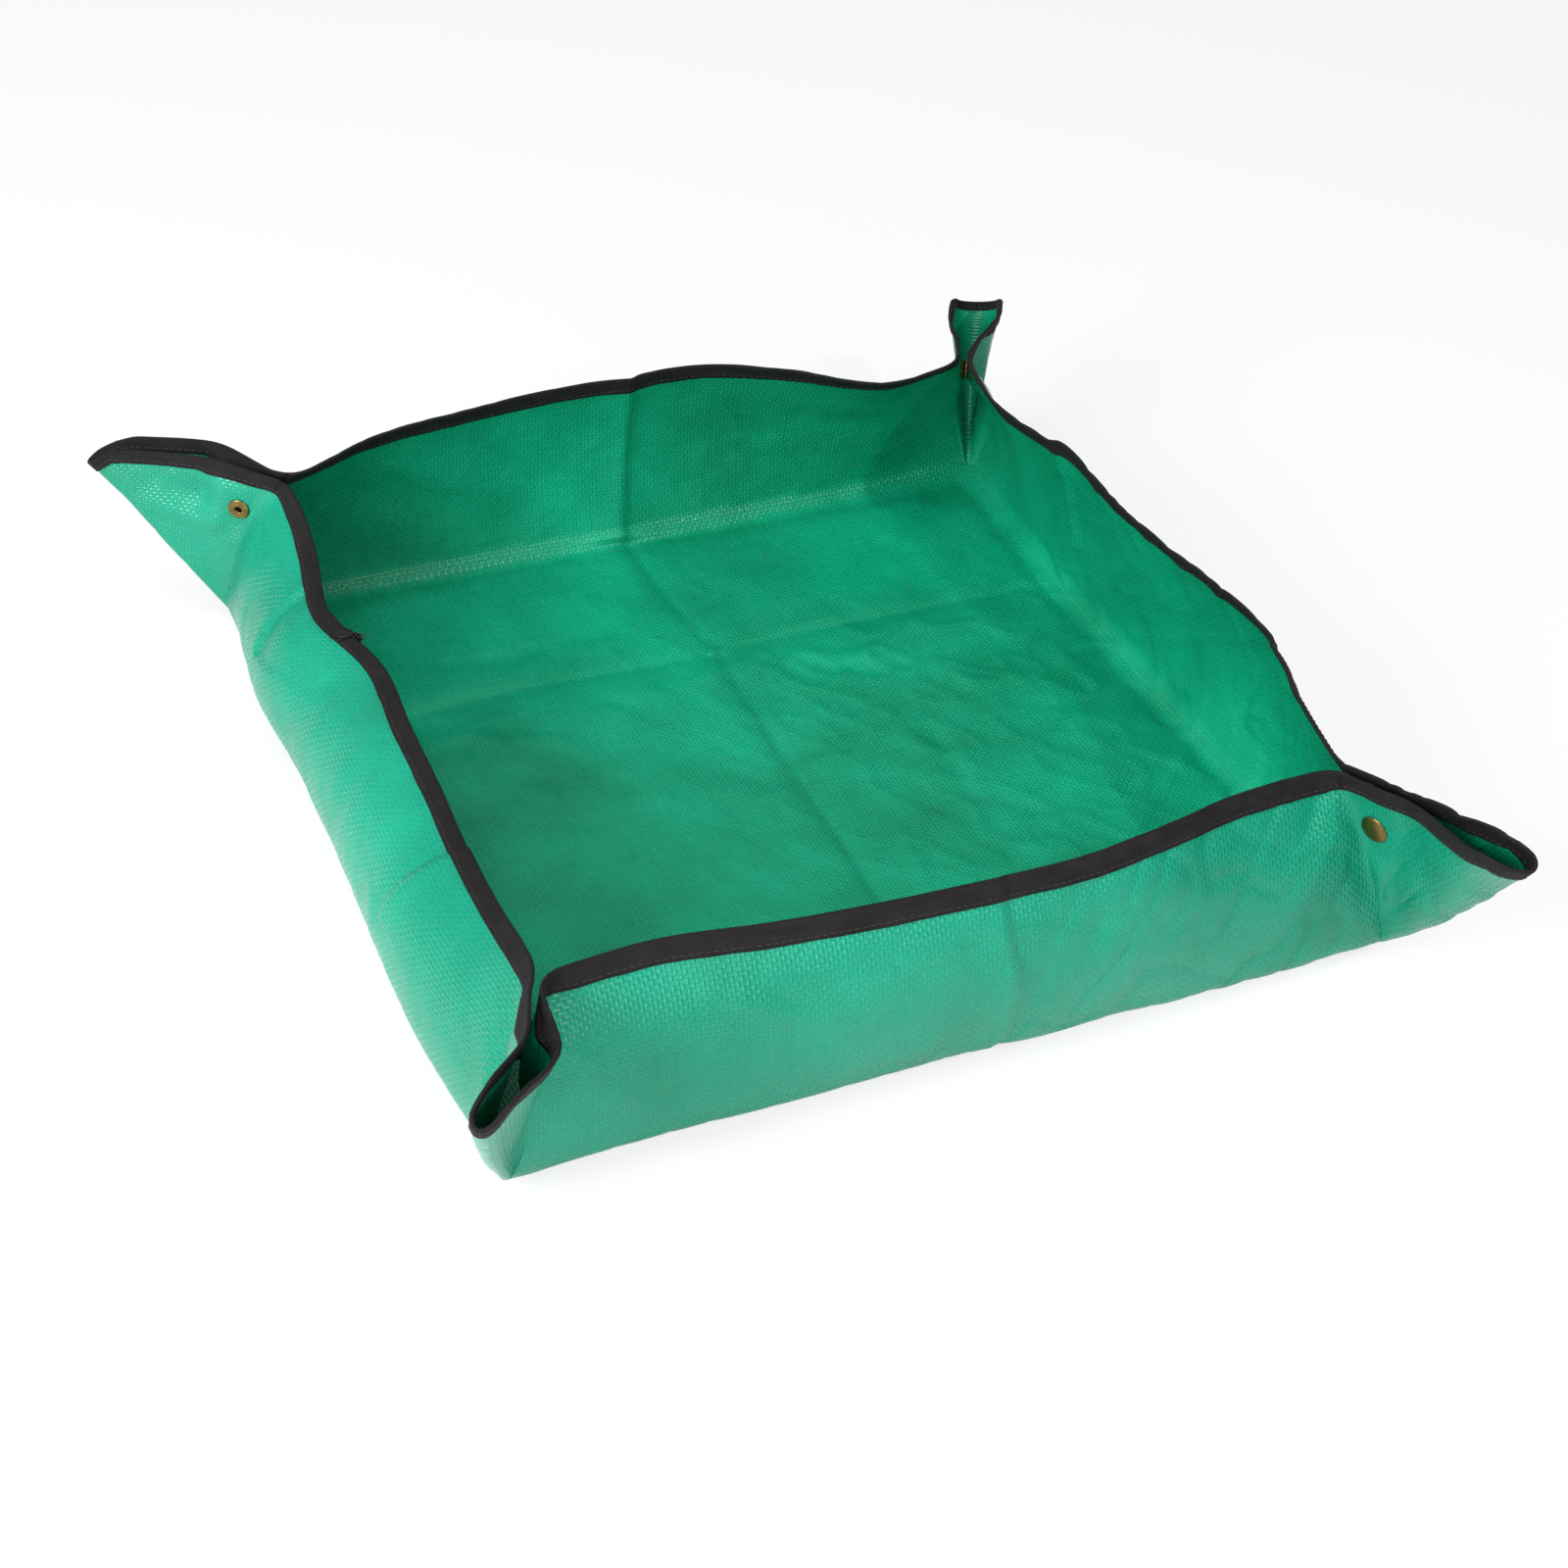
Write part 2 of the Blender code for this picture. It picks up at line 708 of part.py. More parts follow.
def gather(collection_name):
    """Move what was built into the object's own collection."""
    mat = bpy.data.collections.new(collection_name)
    bpy.context.scene.collection.children.link(mat)
    for item in bpy.data.objects:
        if item.display_type == "WIRE":
            continue
        for owner in item.users_collection:
            owner.objects.unlink(item)
        mat.objects.link(item)


def main():
    clear_scene()
    cutters = bpy.data.collections.new("cutters")
    bpy.context.scene.collection.children.link(cutters)
    tarp = new_material("green_tarp", TARP_GREEN, 0.35, 0.0)
    black = new_material("black_tape", TAPE_BLACK, 0.85, 0.0)
    brass = new_material("aged_brass", BRASS, 0.35, 1.0)

    base = new_empty("mat_base", Vector((0, 0, 0)))
    floor_panel(tarp, base)
    wall_pivots = {}
    for wall in WALLS:
        pivot = new_empty(f"{wall}_crease_pivot", crease_pivot(wall), base)
        wall_pivots[wall] = pivot
        wall_panel(wall, tarp, pivot)
        wall_tape(wall, black, pivot)
    for ear, shape in EARS.items():
        for wall in shape["walls"]:
            pivot = new_empty(f"{ear}_ear_{wall}_pivot", ear_pivot(ear, wall), wall_pivots[wall])
            panel = ear_panel(ear, wall, tarp, pivot)
            ear_tape(ear, wall, black, pivot)
            snap_half(ear, wall, panel, pivot, brass, cutters)
    gather("repotting_mat")


main()
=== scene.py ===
import functools
import math

import bmesh
import bpy
import numpy as np
from mathutils import Matrix, Vector


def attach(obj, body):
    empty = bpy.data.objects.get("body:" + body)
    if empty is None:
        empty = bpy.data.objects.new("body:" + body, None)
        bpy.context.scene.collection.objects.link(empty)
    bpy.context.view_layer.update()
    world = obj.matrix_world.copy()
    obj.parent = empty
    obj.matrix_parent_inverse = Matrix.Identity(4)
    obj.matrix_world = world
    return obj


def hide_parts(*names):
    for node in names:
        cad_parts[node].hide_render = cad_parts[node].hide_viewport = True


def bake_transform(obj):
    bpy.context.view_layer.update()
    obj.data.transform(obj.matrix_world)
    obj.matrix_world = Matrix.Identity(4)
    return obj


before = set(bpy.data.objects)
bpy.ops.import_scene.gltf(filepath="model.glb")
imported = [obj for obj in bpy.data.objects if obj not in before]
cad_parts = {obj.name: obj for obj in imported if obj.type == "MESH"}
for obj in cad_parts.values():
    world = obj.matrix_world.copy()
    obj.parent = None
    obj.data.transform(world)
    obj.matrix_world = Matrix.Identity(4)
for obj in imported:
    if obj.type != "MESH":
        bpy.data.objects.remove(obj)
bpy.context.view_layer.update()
print("frame loaded:", len(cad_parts), "solids")

# The cloth as it was cut, in metres, how its folds turn and where its press studs are
cloth = {
    "side": 0.680,
    "wallHeight": 0.1075,
    "cadThickness": 0.0008,
    "thickness": 0.0006,
    "cornerCut": 0.026,
    "creaseRadius": 0.014,
    "creaseTurn": math.radians(45),
    "earFoldRadius": 0.0040,
    "earStart": 0.0080,
    "layerHalfGap": 0.0025,
    "snapInset": 0.027,
    "snapFromWall": 0.0170,
    "snapFlat": 0.0108,
    "holeReach": 0.0034,
    "footPower": 6,
}

# How far apart the cloth's points are
cells = {"floor": 0.0027, "wall": 0.00251, "rim": 0.0030, "floorEdge": 0.0017, "wallFoot": 0.0014}

# How far round each bend the cloth is softened, how far up from the floor that starts, how much
# of it a floor corner gets, and how many times it is done
softness = {"wall": 0.034, "ear": 0.012, "corner": 0.012, "tip": 0.011, "foot": 0.018,
            "footFade": 0.035, "atCorner": 0.7, "full": (1.15, 1.2), "rounds": 26}

# Each wall: the way it faces, and its lean outwards low down and at its rim, in degrees, at even
# places between its two ears
walls = {
    "front": {"faces": -90, "low": (7.4, 13.8, 17.1, 18.9, 18.5, 10.5, 0),
              "top": (-44, -39.9, -37, -36.1, -34.8, -35.1, -35.8)},
    "right": {"faces": 0, "low": (6.3, 19.2, 12.7, 3, -4.1, -4.6, -4.5),
              "top": (-34.6, -29.5, -27, -26, -23.1, -21.5, -35.8)},
    "back": {"faces": 90, "low": (-4.4, 5.1, 14, 14.5, 13.7, 11.8, 8.9),
             "top": (-42, -24.9, -9.2, -7, -10.1, -16.6, -25.3)},
    "left": {"faces": 180, "low": (27, 40.5, 29.1, 30.7, 33.6, 36.9, 32.3),
             "top": (-74.8, -81.7, -89.7, -86.5, -89.5, -90.2, -81.5)},
}

# Each ear: its two walls, the lean of the rims' ends at its root and its swing in degrees. As
# shares of the wall's height: its tip's shift, its mouth's width, its bend aside and its fold's
# roundness at the rim. The mouth opens from the first share of the way out, is widest at the
# second, and keeps the third of its width at the tip. Its foot sticks out by so many metres
ears = {
    "right": {"walls": ("front", "right"), "end": (-1.9, -36.3), "swing": -27.2,
              "tip": (-0.103, 0.183), "mouth": 0.066, "aside": 0.116,
              "opening": (0.31, 0.84, 0.56), "fold": 0.09, "foot": 0.0},
    "back": {"walls": ("right", "back"), "end": (8.1, -50), "swing": 16.1,
             "tip": (-0.250, -0.264), "mouth": 0.117, "aside": 0.038,
             "opening": (0.05, 0.58, 0.97), "fold": 0.09, "foot": 0.0095},
    "left": {"walls": ("back", "left"), "end": (-2, -36.4), "swing": 11.8,
             "tip": (-0.055, -0.241), "mouth": 0.044, "aside": 0.127,
             "opening": (0.02, 0.42, 0.83), "fold": 0.09, "foot": 0.0001},
    "front": {"walls": ("left", "front"), "end": (13.2, -50), "swing": 10.5,
              "tip": (-0.030, 0.167), "mouth": 0.045, "aside": -0.140,
              "opening": (0.02, 0.50, 0.43), "fold": 0.09, "foot": 0.0},
}

up = Vector((0, 0, 1))
height = cloth["wallHeight"]
halfFloor = cloth["side"] / 2 - height
coveRun = cloth["creaseRadius"] * math.sin(cloth["creaseTurn"])
coveRise = cloth["creaseRadius"] * (1 - math.cos(cloth["creaseTurn"]))
coveLength = cloth["creaseRadius"] * (math.pi / 2 - cloth["creaseTurn"])
creaseZ = cloth["cadThickness"] / 2 + coveRise


def mix(a, b, share):
    return a + (b - a) * share


def clamp(value, low=0.0, high=1.0):
    return max(low, min(high, value))


def smooth(share):
    share = clamp(share)
    return share * share * (3 - 2 * share)


def smoothAll(share):
    share = np.clip(share, 0, 1)
    return share * share * (3 - 2 * share)


def arcRun(startAngle, endAngle, length, along):
    turn = (endAngle - startAngle) / length
    if abs(turn * length) < 1e-6:
        return along * math.cos(startAngle), along * math.sin(startAngle)
    angle = startAngle + turn * along
    out, rise = math.sin(angle) - math.sin(startAngle), math.cos(startAngle) - math.cos(angle)
    return out / turn, rise / turn


def wallProfile(leanLow, leanTop, high):
    # a wall's section: the crease turns up to the low lean, and the rest turns to the rim's lean
    low, top = math.pi / 2 - leanLow, math.pi / 2 - leanTop
    out, rise = arcRun(cloth["creaseTurn"], low, coveLength, min(high, coveLength))
    if high > coveLength:
        moreOut, moreRise = arcRun(low, top, height - coveLength, high - coveLength)
        out, rise = out + moreOut, rise + moreRise
    return out, rise


def through(values, share):
    # a smooth curve through evenly spaced values
    place = clamp(share) * (len(values) - 1)
    first = min(int(place), len(values) - 2)
    part = place - first
    before, low = values[max(first - 1, 0)], values[first]
    high, after = values[first + 1], values[min(first + 2, len(values) - 1)]
    cubed = 3 * (low - high) + after - before
    squared = 2 * before - 5 * low + 4 * high - after
    return low + part * (high - before + part * (squared + part * cubed)) / 2


@functools.lru_cache(None)
def earAt(wall, side):
    # an ear names first the wall that ends at it
    return next(ear for ear, shape in ears.items() if shape["walls"][0 if side > 0 else 1] == wall)


def endLeans(ear):
    return [math.radians(lean) for lean in ears[ear]["end"]]


@functools.lru_cache(None)
def wallLeans(wall, share):
    ends = [ears[earAt(wall, side)]["end"] for side in (-1, 1)]
    leans = [(ends[0][i], *walls[wall][level], ends[1][i]) for i, level in enumerate(("low", "top"))]
    return [math.radians(through(lean, (share + 1) / 2)) for lean in leans]


@functools.lru_cache(None)
def directions(wall):
    angle = math.radians(walls[wall]["faces"])
    outward = Vector((math.cos(angle), math.sin(angle), 0))
    return outward, up.cross(outward)


def endSign(ear, wall):
    return 1 if ears[ear]["walls"][0] == wall else -1


def otherWall(ear, wall):
    first, second = ears[ear]["walls"]
    return second if wall == first else first


@functools.lru_cache(None)
def flatEar(ear):
    # an ear folded flat in its own plane: how far it pulls the rims in, its root, tip and edge
    endOut, endUp = wallProfile(*endLeans(ear), height)
    pull = cloth["layerHalfGap"] * math.sqrt(2) - endOut
    root = Vector((-pull * math.sqrt(2), endUp))
    edge, diagonal, span = height + pull, height * math.sqrt(2), root.length
    along = (diagonal ** 2 - edge ** 2 + span ** 2) / (2 * span)
    line = root / span
    tip = line * along + Vector((line.y, -line.x)) * math.sqrt(diagonal ** 2 - along ** 2)
    straight = edge - cloth["cornerCut"]
    return {"pull": pull, "root": root, "tip": tip, "straight": straight,
            "whole": straight + cloth["cornerCut"] / math.sqrt(2)}


def rootLine(ear, high):
    return -flatEar(ear)["pull"] * high / height


def wallReach(wall, side, high):
    return halfFloor + rootLine(earAt(wall, side), high)


def footShift(x, y):
    # the floor's corners stick out a little along their diagonals
    shift = Vector((0, 0, 0))
    for shape in ears.values():
        outward, along = directions(shape["walls"][0])
        way = outward + along
        near = clamp(way.x * x / halfFloor) * clamp(way.y * y / halfFloor)
        shift += way * (shape["foot"] / math.sqrt(2) * near ** cloth["footPower"])
    return shift


def wallPoint(wall, share, high):
    outward, along = directions(wall)
    out, rise = wallProfile(*wallLeans(wall, share), high)
    reach = share * wallReach(wall, 1 if share > 0 else -1, high)
    base = outward * halfFloor + along * (share * halfFloor)
    shift = footShift(base.x, base.y)
    return outward * (halfFloor + out) + along * reach + up * (creaseZ + rise) + shift


def coveHeight(insideEdge):
    run = clamp(coveRun - insideEdge, 0.0, coveRun)
    return cloth["creaseRadius"] - math.sqrt(cloth["creaseRadius"] ** 2 - run ** 2)


def floorPoint(x, y):
    riseX, riseY = (coveHeight(halfFloor - abs(v)) / coveRise for v in (x, y))
    rise = coveRise * (1 - (1 - riseX) * (1 - riseY))
    return Vector((x, y, cloth["cadThickness"] / 2 + rise)) + footShift(x, y)


@functools.lru_cache(None)
def earFrame(ear, wall):
    outward, along = directions(wall)
    sign = endSign(ear, wall)
    corner = (outward + along * sign) * halfFloor
    corner += footShift(corner.x, corner.y) + up * creaseZ
    return corner, (outward + along * sign).normalized(), (outward - along * sign).normalized()


@functools.lru_cache(None)
def earTurn(ear, wall):
    root = flatEar(ear)["root"]
    axis = (earFrame(ear, wall)[1] * root.x + up * root.y).normalized()
    return Matrix.Rotation(math.radians(ears[ear]["swing"]), 3, axis)


@functools.lru_cache(None)
def snapPlace(ear):
    high = height - cloth["snapInset"]
    return rootLine(ear, high) + cloth["snapFromWall"], high


def pinched(ear, past, high):
    # how free the cloth is of the press stud: nothing in the flat square round it, one at the wall
    centre = snapPlace(ear)[1]
    fromWall = (past - rootLine(ear, high)) * centre / max(high, cloth["earStart"])
    reach, flat = cloth["snapFromWall"], cloth["snapFlat"]
    toWall = (reach - fromWall - flat) / (reach - flat)
    toRim = (max(fromWall - reach, abs(high - centre)) - flat) / (cloth["snapInset"] - flat)
    return smooth(max(toWall, toRim))


def mouthOpening(ear, share):
    start, widest, end = ears[ear]["opening"]
    opened = smooth((share - start) / (widest - start))
    return opened * mix(1, end, smooth((share - widest) / (1 - widest)))


def earPoint(ear, wall, past, high):
    if past > high:
        return earPoint(ear, otherWall(ear, wall), high, past)
    shape, flatShape = ears[ear], flatEar(ear)
    corner, diagonal, side = earFrame(ear, wall)
    rise = high / height
    start = rootLine(ear, high)
    share = clamp((past - start) / (high - start)) if high > 0 else 0.0
    flat = (flatShape["root"] * (1 - share) + flatShape["tip"] * share) * rise
    flat += Vector(shape["tip"]) * height * rise ** 2 * share ** 1.5
    free = pinched(ear, past, high)
    opening = height * rise ** 2 * mouthOpening(ear, share)
    aside = shape["aside"] * opening * endSign(ear, wall)
    foldRadius = mix(cloth["earFoldRadius"], shape["fold"] * height, rise ** 2)
    fromFold = clamp((high - past) / math.sqrt(2) / foldRadius)
    closing = math.sqrt(1 - (1 - fromFold) ** 2)
    apart = (cloth["layerHalfGap"] + shape["mouth"] * opening * free) * closing + aside * free
    outward, along = directions(wall)
    out, rises = wallProfile(*endLeans(ear), high)
    wallEnd = outward * out + along * (endSign(ear, wall) * start) + up * rises
    nearWall = (1 - share) ** 3
    flat += (Vector((wallEnd.dot(diagonal), wallEnd.z)) - flatShape["root"] * rise) * nearWall
    apart += (wallEnd.dot(side) - cloth["layerHalfGap"]) * nearWall * free
    turn = earTurn(ear, wall)
    turned = turn @ (diagonal * flat.x + up * flat.y + side * apart)
    return corner + turned + (wallEnd - turn @ wallEnd) * nearWall * free


def earEdge(ear, run):
    straight = flatEar(ear)["straight"]
    if run <= straight:
        return Vector((run - flatEar(ear)["pull"], height))
    slant = (run - straight) / math.sqrt(2)
    return Vector((height - cloth["cornerCut"] + slant, height - slant))


# A panel is "floor", ("wall", name) or ("ear", ear, wall), and a place on it is flat: along and up
def placeOn(panel, a, b):
    if panel == "floor":
        return floorPoint(a, b)
    if panel[0] == "wall":
        return wallPoint(panel[1], clamp(a / wallReach(panel[1], 1 if a > 0 else -1, b), -1, 1), b)
    return earPoint(panel[1], panel[2], a, b)


def cutPlace(panel, a, b):
    # the same place on the whole sheet as it was cut, from its middle
    if panel == "floor":
        return a, b
    outward, along = directions(panel[-1])
    sign = 1 if panel[0] == "wall" else endSign(panel[1], panel[2])
    reach = a if panel[0] == "wall" else halfFloor + a
    point = outward * (halfFloor + b) + along * (sign * reach)
    return point.x, point.y


# Creases and wrinkles on the cut sheet, + towards the inside. Each wrinkle: its height and its
# half width in metres, and its line in millimetres. Along the line it swells from its ends
wrinkleEnds = {"start": 0.04, "fullness": 0.7}
wrinkles = [
    (-0.0014, 0.0070, ((-180, 104), (-158, 96), (-146, 74), (-150, 58))),
    (0.0012, 0.0060, ((-168, 88), (-146, 84), (-128, 66), (-124, 50))),
    (-0.0012, 0.0065, ((-146, 46), (-122, 36), (-106, 18))),
    (0.0009, 0.0050, ((-120, 70), (-100, 60), (-84, 40))),
    (-0.0010, 0.0050, ((-70, 92), (-52, 78), (-46, 60))),
    (0.0010, 0.0050, ((-40, 96), (-30, 76), (-34, 56))),
    (-0.0009, 0.0050, ((-130, -4), (-108, -14), (-86, -12))),
    (-0.0008, 0.0045, ((-30, 6), (-12, -2), (4, -16))),
    (0.0013, 0.0060, ((50, 100), (78, 82), (104, 80))),
    (-0.0012, 0.0060, ((62, 86), (90, 66), (122, 64))),
    (0.0011, 0.0050, ((76, 22), (84, -6), (80, -32))),
    (-0.0012, 0.0050, ((92, 20), (98, -14), (92, -46))),
    (0.0010, 0.0055, ((128, 44), (150, 30), (176, 28))),
    (-0.0011, 0.0055, ((150, 12), (176, 0), (204, 4))),
    (0.0012, 0.0060, ((190, 60), (204, 30), (208, -4))),
    (-0.0011, 0.0055, ((98, -60), (118, -78), (144, -82))),
    (0.0010, 0.0050, ((196, -48), (214, -70), (216, -96))),
    (-0.0013, 0.0070, ((-112, 332), (-80, 306), (-40, 276))),
    (0.0012, 0.0070, ((-150, 318), (-112, 296), (-78, 276))),
    (-0.0011, 0.0060, ((-172, 306), (-140, 284), (-120, 270))),
    (0.0010, 0.0060, ((60, 296), (92, 280), (150, 272))),
    (-0.0010, 0.0060, ((100, 306), (138, 292), (190, 286))),
    (-0.0016, 0.0070, ((-150, 150), (-110, 142), (-66, 146))),
    (-0.0014, 0.0080, ((-262, 60), (-290, 40), (-318, 34))),
    (0.0014, 0.0080, ((-258, -10), (-288, -18), (-322, -12))),
    (-0.0014, 0.0080, ((-256, -90), (-286, -82), (-316, -92))),
    (0.0012, 0.0070, ((-262, 140), (-290, 156), (-316, 160))),
    (-0.0024, 0.0080, ((-307, 284), (-299, 249), (-315, 209))),
    (0.0022, 0.0090, ((-318, 280), (-312, 262), (-322, 236))),
    (-0.0020, 0.0070, ((234, -332), (230, -290), (238, -258))),
    (0.0014, 0.0060, ((214, -326), (212, -290), (220, -262))),
    (-0.0012, 0.0050, ((-208, -318), (-191, -287), (-170, -256))),
    (-0.0010, 0.0050, ((-130, -312), (-103, -296), (-80, -290))),
]

# Each fold from storage: its narrow ridge, how far its sides stand with it, the step from its left
# side to its right one, and its line in millimetres. Above them, how soft and how narrow the ridge
# is, how wide its sides are, and how it starts at its ends
folds = {
    "softness": 0.0012,
    "sharp": 0.0030,
    "wide": 0.026,
    "ends": (0.03, 0.2),
    "lines": [
        (0.0006, 0.0036, -0.0014, ((12, 352), (8, 294), (6, 263), (4, 230))),
        (-0.0017, -0.0016, -0.0005, ((4, 232), (5, 183), (12, 114))),
        (-0.0017, -0.0018, -0.0006, ((12, 114), (12, 65), (10, 9), (9, -60), (7, -160),
                                     (6, -226))),
        (0.0004, -0.0012, 0.0012, ((10, -236), (16, -261), (15, -287), (9, -315), (8, -350))),
        (-0.0015, -0.0014, 0.0005, ((-228, 110), (-172, 110), (-121, 114), (-63, 113),
                                    (-23, 111), (12, 114))),
        (-0.0015, -0.0014, 0.0006, ((12, 114), (88, 114), (152, 114), (228, 112))),
        (0.0006, 0.0020, 0.0016, ((234, 108), (272, 94), (312, 96), (350, 108))),
        (0.0004, 0.0012, -0.0014, ((262, -80), (297, -85), (329, -104), (350, -108))),
        (0.0005, 0.0014, 0.0016, ((-290, 120), (-320, 126), (-350, 128))),
        (0.0005, -0.0014, -0.0020, ((-286, -96), (-320, -100), (-350, -100))),
    ],
}

# Slow waves, each with its size and height, and how far the floor stands off the table
undulation = {"seed": 7, "floorLift": 0.0036,
              "layers": ((0.075, 0.0013), (0.032, 0.00050), (0.013, 0.00010))}

# Small sharp wrinkles, longer than they are wide, most of them on the floor's right half
crumple = {"size": (0.024, 0.014), "height": 0.0011, "turn": 0.6, "seed": 21, "stretch": 0.45,
           "sharpness": 5, "middle": 0.3, "least": 0.35, "right": (0.10, 0.35),
           "front": (0.13, 0.05)}

# Where the cloth stays plain: round the press studs and at the floor's corners, how its lift starts
# there, how low it may lie, and how the lift ends at the floor's edge
calm = {"snap": (0.0085, 0.016), "corner": (0.034, 0.2), "lift": 0.05, "lowest": -0.0002,
        "foot": (0.03, 0.3)}


def latticeNoise(x, y, size, seed):
    # smooth noise from -1 to 1 with one random value for each square of this size
    table = np.random.default_rng(seed).uniform(-1, 1, (256, 256))
    gx, gy = x / size + 128, y / size + 128
    ix, iy = np.floor(gx).astype(int), np.floor(gy).astype(int)
    fx, fy = smoothAll(gx - ix), smoothAll(gy - iy)

    def corner(dx, dy):
        return table[(ix + dx) % 256, (iy + dy) % 256]

    low = corner(0, 0) * (1 - fx) + corner(1, 0) * fx
    high = corner(0, 1) * (1 - fx) + corner(1, 1) * fx
    return low * (1 - fy) + high * fy


def lineDistance(x, y, points):
    # distance to a line of points, how far along it the nearest place is, 0 to 1, and its side
    points = [(px / 1000, py / 1000) for px, py in points]
    best = np.full(x.shape, 1e9)
    along, side = np.zeros(x.shape), np.ones(x.shape)
    lengths = [math.dist(p, q) for p, q in zip(points, points[1:])]
    total, done = sum(lengths), 0.0
    for (px, py), (qx, qy), length in zip(points, points[1:], lengths):
        t = np.clip(((x - px) * (qx - px) + (y - py) * (qy - py)) / length ** 2, 0, 1)
        away = np.hypot(x - px - t * (qx - px), y - py - t * (qy - py))
        nearer = away < best
        best = np.where(nearer, away, best)
        along = np.where(nearer, (done + t * length) / total, along)
        side = np.where(nearer, np.sign((qx - px) * (y - py) - (qy - py) * (x - px)), side)
        done += length
    return best, along, side


def crumpleHeight(x, y):
    turn, least = crumple["turn"], crumple["least"]
    turned = [x * math.cos(turn) + y * math.sin(turn), y * math.cos(turn) - x * math.sin(turn)]
    (soft, shift), (line, fade) = crumple["right"], crumple["front"]
    where = least + (1 - least) * smoothAll(x / soft + shift) * smoothAll((line - y) / fade)
    total = np.zeros(x.shape)
    for i, size in enumerate(crumple["size"]):
        along, across = turned[i] * crumple["stretch"], turned[1 - i]
        noise = latticeNoise(along, across, size, crumple["seed"] + i)
        ridges = (1 - np.abs(noise)) ** crumple["sharpness"]
        total += crumple["height"] * (ridges - crumple["middle"]) * where
    return total


def wrinkleHeight(x, y):
    # how far the cloth stands off its plain shape, towards the inside, at places on the cut sheet
    total = crumpleHeight(x, y)
    for i, (size, most) in enumerate(undulation["layers"]):
        total += most * latticeNoise(x, y, size, undulation["seed"] + i)
    for most, half, points in wrinkles:
        away, along, _ = lineDistance(x, y, points)
        along = np.clip(along, wrinkleEnds["start"], 1 - wrinkleEnds["start"])
        hump = np.clip(1 - (away / (half * 2)) ** 2, 0, 1) ** 3
        total += most * hump * np.sin(np.pi * along) ** wrinkleEnds["fullness"]
    fadeEnd, atEnd = folds["ends"]
    for ridge, stand, step, points in folds["lines"]:
        away, along, side = lineDistance(x, y, points)
        near = np.hypot(away, folds["softness"])
        ends = smoothAll(np.minimum(along, 1 - along) / fadeEnd + atEnd)
        total += ends * ridge * np.exp(-near / folds["sharp"])
        total += ends * stand * np.exp(-near / folds["wide"])
        total += ends * step * side * (away / near) * np.exp(-away / folds["wide"])
    away = np.full(x.shape, 1e9)
    for ear, shape in ears.items():
        for wall in shape["walls"]:
            sx, sy = cutPlace(("ear", ear, wall), *snapPlace(ear))
            away = np.minimum(away, np.hypot(x - sx, y - sy))
    (plain, fade), (reach, start), (foot, share) = calm["snap"], calm["corner"], calm["foot"]
    fromCorner = np.hypot(np.abs(x) - halfFloor, np.abs(y) - halfFloor)
    total *= smoothAll((away - plain) / fade)
    total *= smoothAll(fromCorner / reach - start)
    inside = halfFloor - np.maximum(np.abs(x), np.abs(y))
    raised = total + undulation["floorLift"] * smoothAll(fromCorner / calm["lift"])
    return mix(total, np.maximum(raised, calm["lowest"]), smoothAll(inside / foot + share))


# The whole cloth is made as one mesh, so that its panels meet with no step, and then parted
def spread(start, end, step):
    count = max(1, round(abs(end - start) / step))
    return [mix(start, end, i / count) for i in range(count)]


edgeRun = spread(halfFloor, halfFloor - coveRun, cells["floorEdge"])
halfStations = edgeRun + spread(halfFloor - coveRun, 0, cells["floor"]) + [0.0]
stations = [-v for v in halfStations] + halfStations[-2::-1]
shares = [v / halfFloor for v in stations]
rows = spread(0, coveLength, cells["wallFoot"])
rows += spread(coveLength, height, cells["wall"]) + [height]
# how far the last points of an ear's rim are from its fold line
foldBands = (0.0050, 0.0036, 0.0025, 0.0016, 0.0009, 0.0004, 0.0001, 0.0)


@functools.lru_cache(None)
def earRuns(ear):
    straight, cell = flatEar(ear)["straight"], cells["rim"]
    foldRuns = [flatEar(ear)["whole"] - band for band in foldBands]
    return spread(0, straight, cell) + spread(straight, foldRuns[0], cell) + foldRuns


def panelGrid(panel):
    if panel == "floor":
        return [[(x, y) for x in stations] for y in stations]
    if panel[0] == "wall":
        return [[(s * wallReach(panel[1], 1 if s > 0 else -1, h), h) for s in shares] for h in rows]
    edge = [earEdge(panel[1], run) for run in earRuns(panel[1])]
    return [[tuple(point * (h / height)) for point in edge] for h in rows]


def insideOf(panel):
    if panel == "floor":
        return up
    if panel[0] == "wall":
        return -directions(panel[1])[0]
    return -earFrame(panel[1], panel[2])[2]


def rootNearness(panel, a, b):
    # how much the bends between the floor, a wall and an ear are softened here
    fullRoot, fullCorner = softness["full"]
    foot = smooth((b - softness["foot"]) / softness["footFade"])
    x, y = cutPlace(panel, a, b)
    fromCorner = math.hypot(abs(x) - halfFloor, abs(y) - halfFloor)
    corner = smooth(fullCorner - fromCorner / softness["corner"]) * softness["atCorner"]
    if panel == "floor":
        return corner
    if panel[0] == "wall":
        fromRoot = wallReach(panel[1], 1 if a > 0 else -1, b) - abs(a)
        return max(corner, smooth(fullRoot - fromRoot / softness["wall"]) * foot)
    fromTip = math.hypot(a - height + cloth["cornerCut"], b - height)
    fromRoot = a - rootLine(panel[1], b)
    return max(corner, smooth(fullCorner - fromTip / softness["tip"]),
               smooth(fullRoot - fromRoot / softness["ear"]) * foot)


panels = ["floor"] + [("wall", wall) for wall in walls]
panels += [("ear", ear, wall) for ear, shape in ears.items() for wall in shape["walls"]]


